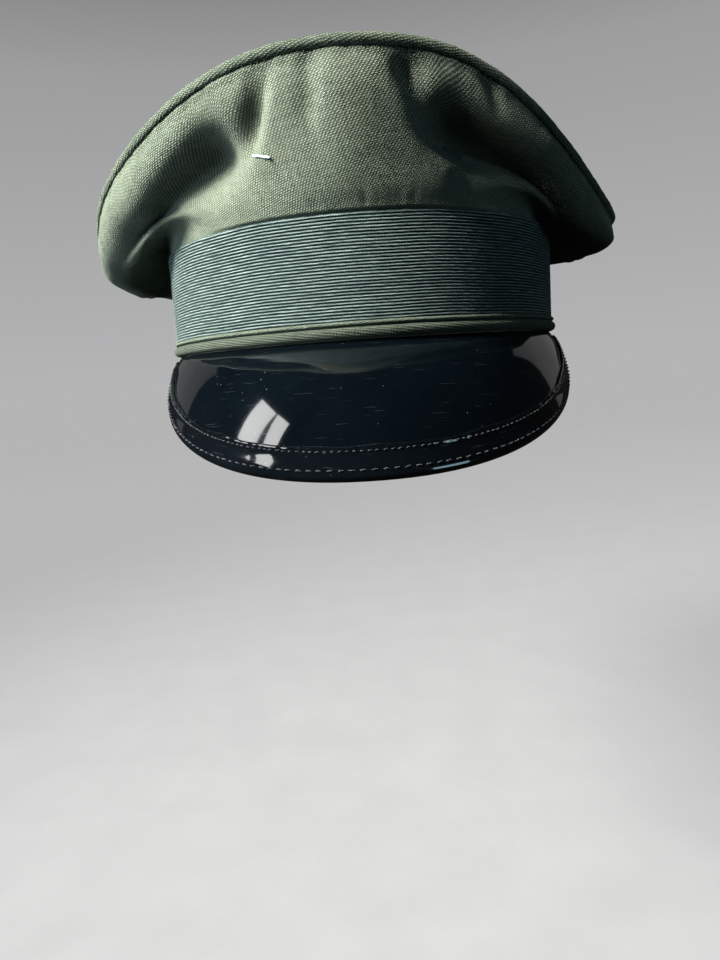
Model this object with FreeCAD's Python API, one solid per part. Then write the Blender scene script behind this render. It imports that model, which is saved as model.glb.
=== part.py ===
import FreeCAD, Part
import math
import os

# Military peaked cap, in millimetres.
# Origin: centre of the head opening, in the plane of the band's bottom edge.
# -Y is the front (the peak), +Z is up, +X is the wearer's left.
# Every layer of cloth, leather and board is its own solid.

Vector = FreeCAD.Vector


# ---- Band: a stack of oval rings ------------------------------------------------------------
BAND_HALF_WIDTH = 88.0          # outside of the ribbed braid, across the head
BAND_HALF_LENGTH = 106.0        # outside of the ribbed braid, front to back
BRAID_THICKNESS = 1.2
BAND_CLOTH_THICKNESS = 0.6
STIFFENER_THICKNESS = 1.4
SWEATBAND_SLOT = 1.6            # room behind the stiffener for the peak's flange and the pad
SWEATBAND_THICKNESS = 1.0

WELT_HEIGHT = 4.2               # the fat welt round the bottom edge
WELT_PROUD = 1.5                # how far it stands out past the braid
WELT_CLOTH = 0.5
PIPING_BOTTOM = 4.3             # the thin piping between welt and braid
PIPING_HEIGHT = 1.8
PIPING_PROUD = 0.8
PIPING_CLOTH = 0.35
BRAID_BOTTOM = 6.2
BRAID_TOP = 42.2
BAND_CLOTH_TOP = 41.7
STIFFENER_BOTTOM = 3.0
STIFFENER_TOP = 40.5
SWEATBAND_BOTTOM = 0.9
SWEATBAND_TOP = 36.0
REED_RADIUS = 0.8
JOIN_STRIP_WIDTH = 14.0
JOIN_STRIP_THICKNESS = 0.7
JOIN_STRIP_BOTTOM = 4.9
JOIN_STRIP_TOP = 35.0
PAD_BOTTOM = 8.2
PAD_TOP = 28.0
PAD_HALF_ANGLE = 36.0

# ---- Crown ----------------------------------------------------------------------------------
RIM_HALF_WIDTH = 119.3          # plan of the crown's rim, on the welt's centre line
RIM_HALF_LENGTH = 127.0
RIM_CENTRE = Vector(-0.7, 14.0, 0.0)     # the rim's oval sits a little behind the band's
RIM_FRONT_Z = 92.6
RIM_REAR_Z = 50.0
RIM_RISE_ANGLE = 45.5           # how far round from the front the raised part reaches
RIM_RISE_SHARPNESS = 2.6
RIM_LEAN = 7.5                  # the wearer's left flank hangs this much lower, the right higher
RIM_LEAN_ANGLE = 55.0
RIM_LEAN_SPREAD = 25.0
TOP_CENTRE_Z = 74.0
TOP_FALLOFF = 1.9               # how quickly the top panel leaves the rim's height
CLOTH_THICKNESS = 0.9
TOP_ABOVE_RIM = 2.45
TOP_EDGE_INSET = 3.3
WALL_EDGE_INSET = 2.6
WALL_BELOW_RIM = 2.7
LOBE_LOW_Z = 33.0               # control height of the side lobes' lowest cloth
LOBE_FRONT_LIFT = 1.5           # how much higher that is in front, at the back and behind the left
LOBE_REAR_LIFT = 4.0
LOBE_TUCK = 4.5
LOBE_TUCK_ANGLE = 115.0
LOBE_TUCK_SPREAD = 32.0
UPRIGHT_TO_ANGLE = 25.0         # the wall stands upright in front, as far round as this
HANGING_FROM_ANGLE = 70.0       # and hangs in full lobes from here back
REAR_EASE = 0.25                # part of the hang that is lost again at the back
SIDE_SEAM_ANGLE = 100.0         # where the front panel meets the rear panels
CROWN_WELT_CORD_RADIUS = 1.35
WIRE_RADIUS = 1.1
WIRE_INSET = 9.6
FERRULE_RADIUS = 1.6
FERRULE_ANGLE = 10.0            # how far it reaches from the back seam

INTERLINING_THICKNESS = 1.6
INTERLINING_HALF_ANGLE = 55.0
INTERLINING_REACH = (1.6, 5.2)  # from the band towards the rim, in knots across the wall
STAY_WIDTH = 12.0
STAY_THICKNESS = 0.6
STAY_FOOT_Z = (29.5, 36.0, 40.5)         # control heights of its foot, inside the band
LINING_THICKNESS = 0.3
LINING_REACH = 0.8              # the lining's top panel, as a part of the rim's oval
LINING_DROP = 5.0
LINING_FOOT_Z = 29.5
LINING_NECK_Z = 40.0
SHIELD_SHARE = 0.55             # how much of the lining's reach the shield covers
SHIELD_THICKNESS = 0.3

# ---- Peak -----------------------------------------------------------------------------------
PEAK_CORNER_Y = -27.0           # the peak's two corners, at the sides of the band
PEAK_HALF_WIDTH = 86.2
PEAK_REACH = 114.5              # from the corners' line to the tip
PEAK_TIP_Z = -42.6
PEAK_CORNER_Z = -5.0
PEAK_SWEEP = 2.4                # how long the rim stays low before it rises to the corners
PEAK_ROOT_INSET = 1.4
PEAK_ROOT_Z = -0.3
TOP_SKIN = 0.9
PEAK_CORE = 1.0
UNDER_SKIN = 0.7
FLANGE_TOP = 7.5                # the core's flange inside the band, and where it starts to turn
FLANGE_TURN_Z = 2.2
FLANGE_CLEAR = 0.2
FLANGE_THICKNESS = 0.8
FLANGE_BENDS = (-0.9, -1.9)     # heights of the turn on the flange's two faces
PEAK_DOME = ((0.45, 0.22), (0.80, 0.62))  # (part of the way out, part of the way down)
BINDING_WIDTH = 9.6
BINDING_UNDER = 6.5
BINDING_THICKNESS = 0.6
BINDING_CLEAR = 0.1             # air between the binding and the skins
BINDING_TURN = 0.7              # room for the turn round the peak's cut edge
STITCH_RADIUS = 0.28
STITCH_FROM_INNER_EDGE = 1.8
STITCH_FROM_RIM = 1.6
INNER_STITCH_PITCH = 2.6
OUTER_STITCH_PITCH = 3.6
STITCH_FILL = 0.62              # part of the pitch that the thread shows
SWEATBAND_STITCH_Z = 3.1

STATIONS = 72                   # control points round a full ring
STEP = 360.0 / STATIONS
PEAK_STATIONS = 37
GAP = 0.1                       # clearance between neighbouring soft layers
ROW_SAMPLES = 200               # steps for measuring along a row of control points


# How far each layer's outer face lies inside the braid's outside.
CLOTH_INSET = BRAID_THICKNESS
STIFFENER_INSET = CLOTH_INSET + BAND_CLOTH_THICKNESS
SLOT_INSET = STIFFENER_INSET + STIFFENER_THICKNESS
SWEATBAND_INSET = SLOT_INSET + SWEATBAND_SLOT
INNER_INSET = SWEATBAND_INSET + SWEATBAND_THICKNESS


# ---- Small helpers --------------------------------------------------------------------------
def smooth_step(low, high, value):
    t = min(1.0, max(0.0, (value - low) / (high - low)))
    return t * t * (3.0 - 2.0 * t)


def mix(first, second, amount):
    return first + (second - first) * amount


def oval_point(half_width, half_length, angle, shift=0.0, z=0.0):
    turn = math.radians(angle)
    return Vector(half_width * math.sin(turn), shift - half_length * math.cos(turn), z)


def spline_gain(step):
    """How far outside a smooth round curve its control points lie, for their angular step."""
    return 3.0 / (2.0 + math.cos(math.radians(step)))


RING_GAIN = spline_gain(STEP)
ROUND_POINTS = 8
ROUND_STEP = 360.0 / ROUND_POINTS
ROUND_GAIN = spline_gain(ROUND_STEP)
PEAK_STEP = 180.0 / (PEAK_STATIONS - 1)
PEAK_GAIN = spline_gain(PEAK_STEP)


def band_point(angle, inset=0.0, z=0.0, gain=RING_GAIN):
    half_width = BAND_HALF_WIDTH - inset
    half_length = BAND_HALF_LENGTH - inset
    return oval_point(half_width * gain, half_length * gain, angle, z=z)


def rim_point(angle):
    half_width = RIM_HALF_WIDTH * RING_GAIN
    half_length = RIM_HALF_LENGTH * RING_GAIN
    return RIM_CENTRE + oval_point(half_width, half_length, angle)


def rim_width(angle):
    """Distance in plan from the braid's outside to the crown's rim."""
    return (rim_point(angle) - band_point(angle)).Length


def place(angle, out, z):
    """A point at a height z and a distance out from the braid's outside, towards the rim."""
    direction = (rim_point(angle) - band_point(angle)).normalize()
    spot = band_point(angle) + direction * out
    return Vector(spot.x, spot.y, z)


def rim_z(angle):
    rise = math.exp(-(abs(angle) / RIM_RISE_ANGLE) ** RIM_RISE_SHARPNESS)
    left = math.exp(-((angle - RIM_LEAN_ANGLE) / RIM_LEAN_SPREAD) ** 2)
    right = math.exp(-((angle + RIM_LEAN_ANGLE) / RIM_LEAN_SPREAD) ** 2)
    return mix(RIM_REAR_Z, RIM_FRONT_Z, rise) + RIM_LEAN * (right - left)


def top_z(angle, reach):
    """Height of the crown's top, from its centre (reach 0) to its rim (reach 1)."""
    return mix(TOP_CENTRE_Z, rim_z(angle), reach ** TOP_FALLOFF)


def top_slope(angle):
    """Rise of the crown's top per millimetre outwards, at the rim."""
    radius = oval_point(RIM_HALF_WIDTH, RIM_HALF_LENGTH, angle).Length
    return TOP_FALLOFF * (rim_z(angle) - TOP_CENTRE_Z) / radius


def ring_angles():
    """Station angles from the back, round the wearer's right side, front and left side."""
    return [-180.0 + STEP * (i - 1) for i in range(STATIONS)]


def wrapped(angle):
    return (angle + 180.0) % 360.0 - 180.0


def ring(row):
    """Control point rows of a full ring, one row(angle) for each station."""
    return [row(wrapped(angle)) for angle in ring_angles()]


# ---- Spline sheets and solids between them ---------------------------------------------------
def clamped_knots(count, degree):
    inner = count - degree
    knots = [float(i) for i in range(inner + 1)]
    repeats = [degree + 1] + [1] * (inner - 1) + [degree + 1]
    return knots, repeats


def spline_sheet(rows, closed):
    """A smooth surface held by rows of control points, closed round the ring or open."""
    across = len(rows[0])
    degree_across = min(3, across - 1)
    knots_across, repeats_across = clamped_knots(across, degree_across)
    if closed:
        knots_along = [float(i) for i in range(len(rows) + 1)]
        repeats_along = [1] * len(knots_along)
    else:
        knots_along, repeats_along = clamped_knots(len(rows), 3)
    sheet = Part.BSplineSurface()
    sheet.buildFromPolesMultsKnots(
        rows, repeats_along, repeats_across, knots_along, knots_across, closed, False, 3, degree_across
    )
    return sheet


def ruled(first, second):
    """The strip between the matching edges of two sheets."""
    rows = [list(pair) for pair in zip(first.getPoles(), second.getPoles())]
    strip = Part.BSplineSurface()
    strip.buildFromPolesMultsKnots(
        rows, first.getMultiplicities(), [2, 2], first.getKnots(), [0.0, 1.0],
        first.isPeriodic(), False, first.Degree, 1,
    )
    return strip.toShape()


def solid_from(shell):
    solid = Part.makeSolid(shell)
    if solid.Volume < 0:
        solid.reverse()
    return solid


def close_faces(faces):
    skin = Part.makeCompound(faces)
    skin.sewShape(0.001)
    return solid_from(skin.Shells[0])


def layer(front_rows, back_rows, closed=False, span=None, band=None):
    """The closed solid between two sheets.

    span cuts it to a stretch along the rows, and band to a stretch across them, in knots.
    """
    sheets = [spline_sheet(rows, closed) for rows in (front_rows, back_rows)]
    for sheet in sheets:
        u_first, u_last, v_first, v_last = sheet.bounds()
        if span:
            u_first, u_last = span
        if band:
            v_first, v_last = band
        if span or band:
            sheet.segment(u_first, u_last, v_first, v_last)
    faces = [sheet.toShape() for sheet in sheets]
    front, back = sheets
    faces.append(ruled(front.vIso(v_first), back.vIso(v_first)))
    faces.append(ruled(front.vIso(v_last), back.vIso(v_last)))
    if not closed or span:
        faces.append(ruled(front.uIso(u_first), back.uIso(u_first)))
        faces.append(ruled(front.uIso(u_last), back.uIso(u_last)))
    return close_faces(faces)


def angle_knot(angle):
    """Where an angle lies along a full ring's knots: 0 at the back, halfway at the front."""
    return (angle + 180.0) / STEP


def shifted(rows, distance, closed):
    """The same control points, moved along the sheet's normal."""
    count = len(rows)
    last = len(rows[0]) - 1
    moved = []
    for i, row in enumerate(rows):
        before = rows[i - 1] if closed or i > 0 else row
        after = rows[(i + 1) % count] if closed or i < count - 1 else row
        new_row = []
        for j, point in enumerate(row):
            along = after[j] - before[j]
            across = row[min(j + 1, last)] - row[max(j - 1, 0)]
            new_row.append(point + along.cross(across).normalize() * distance)
        moved.append(new_row)
    return moved


def cubic_at(row, t):
    """A point on the cubic that four control points make."""
    s = 1.0 - t
    weights = (s * s * s, 3 * s * s * t, 3 * s * t * t, t * t * t)
    total = Vector(0, 0, 0)
    for weight, point in zip(weights, row):
        total += point * weight
    return total


def oval_ring(outer_inset, thickness, bottom, top):
    """A vertical oval ring, placed by how far it lies inside the braid's outside."""
    solids = []
    for inset in (outer_inset, outer_inset + thickness):
        half_width = BAND_HALF_WIDTH - inset
        half_length = BAND_HALF_LENGTH - inset
        oval = Part.Ellipse(
            Vector(0, half_length, bottom), Vector(half_width, 0, bottom), Vector(0, 0, bottom)
        )
        face = Part.Face(Part.Wire(oval.toShape()))
        solids.append(face.extrude(Vector(0, 0, top - bottom)))
    return solids[0].cut(solids[1])


def oval_arc_piece(outer_inset, thickness, bottom, top, middle, half_angle):
    """The stretch of an oval ring within half_angle of a direction."""
    reach = 2.0 * BAND_HALF_LENGTH
    corners = [Vector(0, 0, bottom)]
    for part in (-1.0, 0.0, 1.0):
        corners.append(oval_point(reach, reach, middle + part * half_angle, z=bottom))
    corners.append(corners[0])
    wedge = Part.Face(Part.makePolygon(corners)).extrude(Vector(0, 0, top - bottom))
    return oval_ring(outer_inset, thickness, bottom, top).common(wedge)


def round_ring(spot, radius, span=None):
    """A round cord: spot(angle, out, up) gives the point that far out of and above its middle."""
    reach = radius * ROUND_GAIN
    def row(angle):
        turns = [math.radians(ROUND_STEP * i) for i in range(ROUND_POINTS)]
        return [spot(angle, reach * math.cos(turn), reach * math.sin(turn)) for turn in turns]
    return tube_ring(ring(row), span)


def tube_ring(rows, span=None):
    """A closed cord whose round section is one loop of control points per station."""
    sheet = Part.BSplineSurface()
    knots_along = [float(i) for i in range(len(rows) + 1)]
    knots_round = [float(i) for i in range(len(rows[0]) + 1)]
    sheet.buildFromPolesMultsKnots(
        rows, [1] * len(knots_along), [1] * len(knots_round), knots_along, knots_round, True, True, 3, 3
    )
    if span:
        v_first, v_last = sheet.bounds()[2:]
        sheet.segment(span[0], span[1], v_first, v_last)
        ends = [sheet.uIso(u).toShape() for u in span]
        caps = [Part.Face(Part.Wire(end)) for end in ends]
        return close_faces([sheet.toShape()] + caps)
    return solid_from(Part.Shell([sheet.toShape()]))


# ---- Crown ----------------------------------------------------------------------------------
# Control places of the wall's section, as (out from the braid, height).
WALL_BASE = ((-1.4, 42.1), (-0.9, 45.0))
WALL_RISE = (1.5, 48.0)         # where the upright front leaves the band
UPRIGHT_PARTS = (0.28, 0.55, 0.8)        # parts of its way up to the shoulder
WALL_BULGE = 0.8
WALL_EDGE_OUT = 0.6             # the shoulder stands this far out of the rim's line
SHOULDER_DROP = 9.0             # and this far below it
LOBE_START = (4.5, 46.8)        # where a lobe leaves the band
LOBE_UNDER_INSET = 17.0         # its underside and its lowest cloth, inside the rim's line
LOBE_UNDER_RISE = 2.0
LOBE_LOW_INSET = 4.0
LOBE_SWELL = 0.18               # how far a lobe swells past the rim, for its height
LOBE_SWELL_TOP = 0.8            # part of the swell that is left at the shoulder
LOBE_SWELL_DROP = 4.0           # the widest cloth is this far below the lobe's middle


def hang(angle):
    """How much the wall hangs in a lobe: 0 at the stiffened front, 1 at the sides."""
    eased = 1.0 - REAR_EASE * smooth_step(120.0, 180.0, abs(angle))
    return smooth_step(UPRIGHT_TO_ANGLE, HANGING_FROM_ANGLE, abs(angle)) * eased


def lobe_low(angle):
    """Control height of the lobe's lowest cloth. The left lobe tucks up behind its widest point."""
    front = LOBE_FRONT_LIFT * (1.0 - smooth_step(75.0, 105.0, abs(angle)))
    rear = LOBE_REAR_LIFT * smooth_step(110.0, 180.0, abs(angle))
    tuck = LOBE_TUCK * math.exp(-((angle - LOBE_TUCK_ANGLE) / LOBE_TUCK_SPREAD) ** 2)
    return LOBE_LOW_Z + front + rear + tuck


def wall_row(angle):
    """Control points of the crown's wall, from the top of the band up to the rim."""
    width = rim_width(angle)
    rim = rim_z(angle)
    low = lobe_low(angle)
    shoulder = rim - SHOULDER_DROP
    rise_out, rise_z = WALL_RISE
    edge_out = width + WALL_EDGE_OUT
    upright = [WALL_RISE]
    for part in UPRIGHT_PARTS:
        upright.append((mix(rise_out, edge_out, part) + WALL_BULGE, mix(rise_z, shoulder, part)))
    upright.append((edge_out, shoulder))
    swell = LOBE_SWELL * (rim - low)
    hanging = [
        LOBE_START,
        (width - LOBE_UNDER_INSET, low + LOBE_UNDER_RISE),
        (width - LOBE_LOW_INSET, low),
        (width + swell, mix(low, rim, 0.5) - LOBE_SWELL_DROP),
        (width + LOBE_SWELL_TOP * swell, shoulder + 1.0),
    ]
    share = hang(angle)
    middle = [(mix(u[0], h[0], share), mix(u[1], h[1], share)) for u, h in zip(upright, hanging)]
    edge = [(edge_out, rim - WALL_BELOW_RIM - 0.2), (width - WALL_EDGE_INSET, rim - WALL_BELOW_RIM)]
    return [place(angle, out, z) for out, z in list(WALL_BASE) + middle + edge]


WALL = ring(wall_row)
SEAM_SPANS = {
    "crown_rear_right_panel": (-180.0, -SIDE_SEAM_ANGLE),
    "crown_front_panel": (-SIDE_SEAM_ANGLE, SIDE_SEAM_ANGLE),
    "crown_rear_left_panel": (SIDE_SEAM_ANGLE, 180.0),
}


def wall_layer(depth, thickness, first, last, band=None):
    """A layer of the wall between two angles, at a depth inside the cloth's outer face."""
    front = shifted(WALL, -depth, True)
    back = shifted(WALL, -depth - thickness, True)
    return layer(front, back, True, (angle_knot(first), angle_knot(last)), band)


def crown_wall_panels():
    """Three panels of cloth that meet at two side seams and the back seam."""
    panels = {}
    for name, (first, last) in SEAM_SPANS.items():
        panels[name] = wall_layer(0.0, CLOTH_THICKNESS, first, last)
    return panels


def crown_interlining():
    """Padded canvas that keeps the front of the crown up."""
    half = INTERLINING_HALF_ANGLE
    return wall_layer(CLOTH_THICKNESS + GAP, INTERLINING_THICKNESS, -half, half, INTERLINING_REACH)


def disc_rows(reach, lift, inset=0.0):
    """Control points of a panel shaped like the crown's top, out to a part of its reach."""
    def row(angle):
        spoke = rim_point(angle) - RIM_CENTRE
        spoke = spoke * ((spoke.Length - inset) / spoke.Length)
        points = []
        for part in (0.0, 0.2, 0.45, 0.7, 0.88, 1.0):
            spot = RIM_CENTRE + spoke * (part * reach)
            points.append(Vector(spot.x, spot.y, top_z(angle, part * reach) + lift))
        return points
    return ring(row)


def disc(reach, lift, thickness, inset=0.0, share=1.0):
    """A closed solid under a domed panel. Its sheets run from a point to a share of the edge."""
    upper = spline_sheet(disc_rows(reach, lift, inset), True)
    lower = spline_sheet(disc_rows(reach, lift - thickness, inset), True)
    first, last, centre, edge = upper.bounds()
    edge = share * edge
    if share < 1.0:
        upper.segment(first, last, centre, edge)
        lower.segment(first, last, centre, edge)
    faces = [upper.toShape(), lower.toShape(), ruled(upper.vIso(edge), lower.vIso(edge))]
    return close_faces(faces)


def crown_top_panel():
    return disc(1.0, TOP_ABOVE_RIM, CLOTH_THICKNESS, TOP_EDGE_INSET)


# The folded bias strip's section, as (out of the rim's line, above it).
WELT_OUTSIDE = (
    (-7.0, -0.75), (-3.4, -0.75), (-2.0, -2.3), (1.4, -2.7), (3.0, 0.0),
    (1.4, 2.7), (-2.0, 2.3), (-3.4, 0.75), (-7.0, 0.75),
)
WELT_INSIDE = (
    (-7.0, -0.15), (-3.0, -0.15), (-1.7, -1.7), (1.2, -2.0), (2.4, 0.0),
    (1.2, 2.0), (-1.7, 1.7), (-3.0, 0.15), (-7.0, 0.15),
)
WELT_FLANGE_START = -3.0
WELT_CORD_OUT = 0.25
WIRE_DROP = 2.0


def rim_spot(angle, out, up):
    """A point out of and above the rim's line. Inwards of the welt it follows the top's slope."""
    drop = top_slope(angle) * min(0.0, out - WELT_FLANGE_START)
    return place(angle, rim_width(angle) + out, rim_z(angle) + up + drop)


def crown_welt():
    """A bias strip folded round a cord, with its two edges going in under the top panel."""
    outside = ring(lambda angle: [rim_spot(angle, out, up) for out, up in WELT_OUTSIDE])
    inside = ring(lambda angle: [rim_spot(angle, out, up) for out, up in WELT_INSIDE])
    return layer(outside, inside, True)


def crown_welt_cord():
    def spot(angle, out, up):
        return rim_spot(angle, out + WELT_CORD_OUT, up)
    return round_ring(spot, CROWN_WELT_CORD_RADIUS)


def wire_spot(angle, out, up):
    return rim_spot(angle, out - WIRE_INSET, up - WIRE_DROP)


def grommet_wire():
    """The hoop of spring wire that stretches the crown."""
    return round_ring(wire_spot, WIRE_RADIUS)


def grommet_ferrule():
    """The small tube that joins the wire's two ends at the back."""
    first = angle_knot(180.0 - FERRULE_ANGLE)
    tube = round_ring(wire_spot, FERRULE_RADIUS, (first, float(STATIONS)))
    hole = round_ring(wire_spot, WIRE_RADIUS + 0.05)
    return tube.cut(hole)


def front_stay():
    """A flat strip of spring steel up the middle of the front, from inside the band to the rim."""
    depth = CLOTH_THICKNESS + INTERLINING_THICKNESS + 5.0 * GAP
    sheets = []
    for inset in (0.0, STAY_THICKNESS):
        rows = shifted(WALL, -depth - inset, True)
        foot_out = -SLOT_INSET - 4.0 * GAP - inset
        for row, angle in zip(rows, ring_angles()):
            row[0:2] = [place(wrapped(angle), foot_out, z) for z in STAY_FOOT_Z]
        sheets.append([row[:8] for row in rows])
    half = math.degrees(0.5 * STAY_WIDTH / BAND_HALF_WIDTH)
    return layer(sheets[0], sheets[1], True, (angle_knot(-half), angle_knot(half)))


def crown_lining_top():
    return disc(LINING_REACH, TOP_ABOVE_RIM - LINING_DROP, LINING_THICKNESS)


def sweat_shield():
    """A clear oval sheet under the lining, over the wearer's hair."""
    lift = TOP_ABOVE_RIM - LINING_DROP - LINING_THICKNESS - GAP
    return disc(LINING_REACH, lift, SHIELD_THICKNESS, share=SHIELD_SHARE)


def crown_lining_wall():
    """The lining's wall, from behind the sweatband up to the edge of the lining's top."""
    def row_at(depth):
        def row(angle):
            spoke = rim_point(angle) - RIM_CENTRE
            edge = RIM_CENTRE + spoke * (LINING_REACH - depth / spoke.Length)
            below = TOP_ABOVE_RIM - LINING_DROP - LINING_THICKNESS - GAP
            edge.z = top_z(angle, LINING_REACH) + below
            foot = -SWEATBAND_INSET + LINING_THICKNESS + GAP - depth
            low = place(angle, foot, LINING_FOOT_Z)
            mid = place(angle, foot, LINING_NECK_Z)
            neck = place(angle, foot, mix(LINING_NECK_Z, edge.z, 0.75))
            return [low, mid, neck, edge]
        return row
    return layer(ring(row_at(0.0)), ring(row_at(LINING_THICKNESS)), True)


# ---- Band -----------------------------------------------------------------------------------
# The middle control point of a half-round bead lies this much further out than its curve.
BEAD_GAIN = 8.0 / 7.0


def bead_rows(bottom, height, proud, sink, closed_back):
    """Control points across a half-round bead on the band's cloth: sink is its cloth's depth."""
    base = CLOTH_INSET - 0.02
    reach = base + proud - sink
    low = bottom + sink
    high = bottom + height - sink
    middle = 0.5 * (low + high)
    if closed_back:
        section = [(base, low), (base, mix(low, middle, 0.6)), (base, mix(high, middle, 0.6)), (base, high)]
        section.insert(2, (base, middle))
    else:
        swell = base - BEAD_GAIN * reach
        section = [(base, low), (mix(base, swell, 0.75), low), (swell, middle)]
        section += [(mix(base, swell, 0.75), high), (base, high)]
    return ring(lambda angle: [band_point(angle, inset, z) for inset, z in section])


def bead(bottom, height, proud, cloth):
    """The folded cloth of a half-round bead, and the cord inside it."""
    outside = bead_rows(bottom, height, proud, 0.0, False)
    inside = bead_rows(bottom, height, proud, cloth, False)
    cord_face = bead_rows(bottom, height, proud, cloth + 0.03, False)
    cord_back = bead_rows(bottom, height, proud, cloth + 0.03, True)
    return layer(outside, inside, True), layer(cord_face, cord_back, True)


def sweatband_reed():
    def spot(angle, out, up):
        return band_point(angle, 0.5 * (SWEATBAND_INSET + INNER_INSET) - out, up)
    return round_ring(spot, REED_RADIUS)


def forehead_pad():
    thickness = SWEATBAND_SLOT - 2.0 * GAP
    return oval_arc_piece(SLOT_INSET + GAP, thickness, PAD_BOTTOM, PAD_TOP, 0.0, PAD_HALF_ANGLE)


def sweatband_join_strip():
    """The strip behind the seam where the sweatband's two ends meet, at the back."""
    half = math.degrees(0.5 * JOIN_STRIP_WIDTH / BAND_HALF_LENGTH)
    return oval_arc_piece(INNER_INSET, JOIN_STRIP_THICKNESS, JOIN_STRIP_BOTTOM, JOIN_STRIP_TOP, 180.0, half)


def thread(curve, pitch):
    """A row of straight stitches along a curve."""
    marks = curve.discretize(Distance=pitch)
    stitches = []
    for start, end in zip(marks[:-1], marks[1:]):
        run = (end - start) * STITCH_FILL
        stitches.append(Part.makeCylinder(STITCH_RADIUS, run.Length, start, run))
    return Part.makeCompound(stitches)


def sweatband_stitches():
    """The row that sews the sweatband to the cap, seen along its lower edge."""
    inset = INNER_INSET + STITCH_RADIUS + GAP
    half_length = BAND_HALF_LENGTH - inset
    half_width = BAND_HALF_WIDTH - inset
    z = SWEATBAND_STITCH_Z
    path = Part.Ellipse(Vector(0, half_length, z), Vector(half_width, 0, z), Vector(0, 0, z))
    return thread(path, OUTER_STITCH_PITCH)


# ---- Peak -----------------------------------------------------------------------------------
ROOT_ANGLE = math.degrees(math.acos(-PEAK_CORNER_Y / BAND_HALF_LENGTH))


def peak_angles():
    """Station angles from the wearer's left corner to the right, so that sheets face outwards."""
    return [90.0 - PEAK_STEP * i for i in range(PEAK_STATIONS)]


def peak_rim(angle):
    fall = 1.0 - (abs(angle) / 90.0) ** PEAK_SWEEP
    z = mix(PEAK_CORNER_Z, PEAK_TIP_Z, fall)
    return oval_point(PEAK_HALF_WIDTH * PEAK_GAIN, PEAK_REACH * PEAK_GAIN, angle, PEAK_CORNER_Y, z)


def peak_root(angle, inset, z):
    return band_point(angle * ROOT_ANGLE / 90.0, inset, z, PEAK_GAIN)


def peak_row(angle):
    """Control points across the peak's domed upper face, from the band to the rim."""
    root = peak_root(angle, PEAK_ROOT_INSET, PEAK_ROOT_Z)
    rim = peak_rim(angle)
    run = rim - root
    row = [root]
    for out, down in PEAK_DOME:
        row.append(root + Vector(run.x * out, run.y * out, run.z * down))
    row.append(rim)
    return row


PEAK = [peak_row(angle) for angle in peak_angles()]


def peak_layer(depth, thickness):
    return layer(shifted(PEAK, -depth, False), shifted(PEAK, -depth - thickness, False))


def peak_core():
    """The stiff core, with a flange that goes up inside the band behind the stiffener."""
    faces = [shifted(PEAK, -TOP_SKIN, False), shifted(PEAK, -TOP_SKIN - PEAK_CORE, False)]
    flange_rows = []
    for rows, depth, bend in zip(faces, (0.0, FLANGE_THICKNESS), FLANGE_BENDS):
        inset = SLOT_INSET + FLANGE_CLEAR + depth
        flange = []
        for row, angle in zip(rows, peak_angles()):
            upper = [peak_root(angle, inset, z) for z in (FLANGE_TOP, FLANGE_TURN_Z)]
            flange.append(upper + [peak_root(angle, inset - FLANGE_CLEAR, bend), row[0]])
        flange_rows.append(flange)
    return layer(faces[0], faces[1]).fuse(layer(flange_rows[0], flange_rows[1])).Solids[0]


def length_of(row):
    return (row[-1] - row[0]).Length


def binding_width(row):
    """The binding is full width in front and narrows into the corners."""
    return BINDING_WIDTH * math.tanh(0.6 * length_of(row) / BINDING_WIDTH)


def in_from_rim(row, distance):
    """How far along the row's cubic, from 0 to 1, lies a point this far in from the rim."""
    travelled = 0.0
    last = row[-1]
    for i in range(1, ROW_SAMPLES + 1):
        t = 1.0 - i / ROW_SAMPLES
        point = cubic_at(row, t)
        travelled += (point - last).Length
        last = point
        if travelled >= distance:
            return t
    return 0.0


def binding_rows(clear):
    """Control points round the binding, from its upper edge, over the rim, to its lower edge."""
    thickness = TOP_SKIN + PEAK_CORE + UNDER_SKIN
    above = shifted(PEAK, clear, False)
    below = shifted(PEAK, -thickness - clear, False)
    rows = []
    for row, top, under in zip(PEAK, above, below):
        width = binding_width(row)
        width_under = width * BINDING_UNDER / BINDING_WIDTH
        outward = (row[3] - row[2]).normalize() * (clear + BINDING_TURN)
        corner = (top[3] - under[3]).normalize() * (0.5 * BINDING_TURN)
        points = [cubic_at(top, in_from_rim(row, width * part)) for part in (1.0, 0.66, 0.33, 0.05)]
        points.append(top[3] + outward + corner)
        points.append(under[3] + outward - corner)
        points += [cubic_at(under, in_from_rim(row, width_under * part)) for part in (0.05, 0.4, 0.7, 1.0)]
        rows.append(points)
    return rows


def peak_binding():
    """The folded strip that covers the peak's cut edge."""
    return layer(binding_rows(BINDING_CLEAR + BINDING_THICKNESS), binding_rows(BINDING_CLEAR))


def peak_thread(distance_of_row, pitch):
    """A row of stitches on the binding, a distance in from the rim."""
    lift = BINDING_CLEAR + BINDING_THICKNESS + 0.5 * GAP + STITCH_RADIUS
    lifted = shifted(PEAK, lift, False)
    points = []
    for row, high in zip(PEAK, lifted):
        points.append(cubic_at(high, in_from_rim(row, distance_of_row(row))))
    knots, repeats = clamped_knots(len(points), 3)
    curve = Part.BSplineCurve()
    curve.buildFromPolesMultsKnots(points, repeats, knots, False, 3)
    return thread(curve, pitch)


def inner_stitch_distance(row):
    width = binding_width(row)
    return width - STITCH_FROM_INNER_EDGE * width / BINDING_WIDTH


def outer_stitch_distance(row):
    return STITCH_FROM_RIM * binding_width(row) / BINDING_WIDTH


# ---- Small things ---------------------------------------------------------------------------
FASTENER_ANGLE = -16.3
FASTENER_Z = 61.5
FASTENER_PROUD = 1.4            # how far its middle stands out of the wall's control line
FASTENER_LENGTH = 7.0
FASTENER_RADIUS = 0.35


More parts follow.
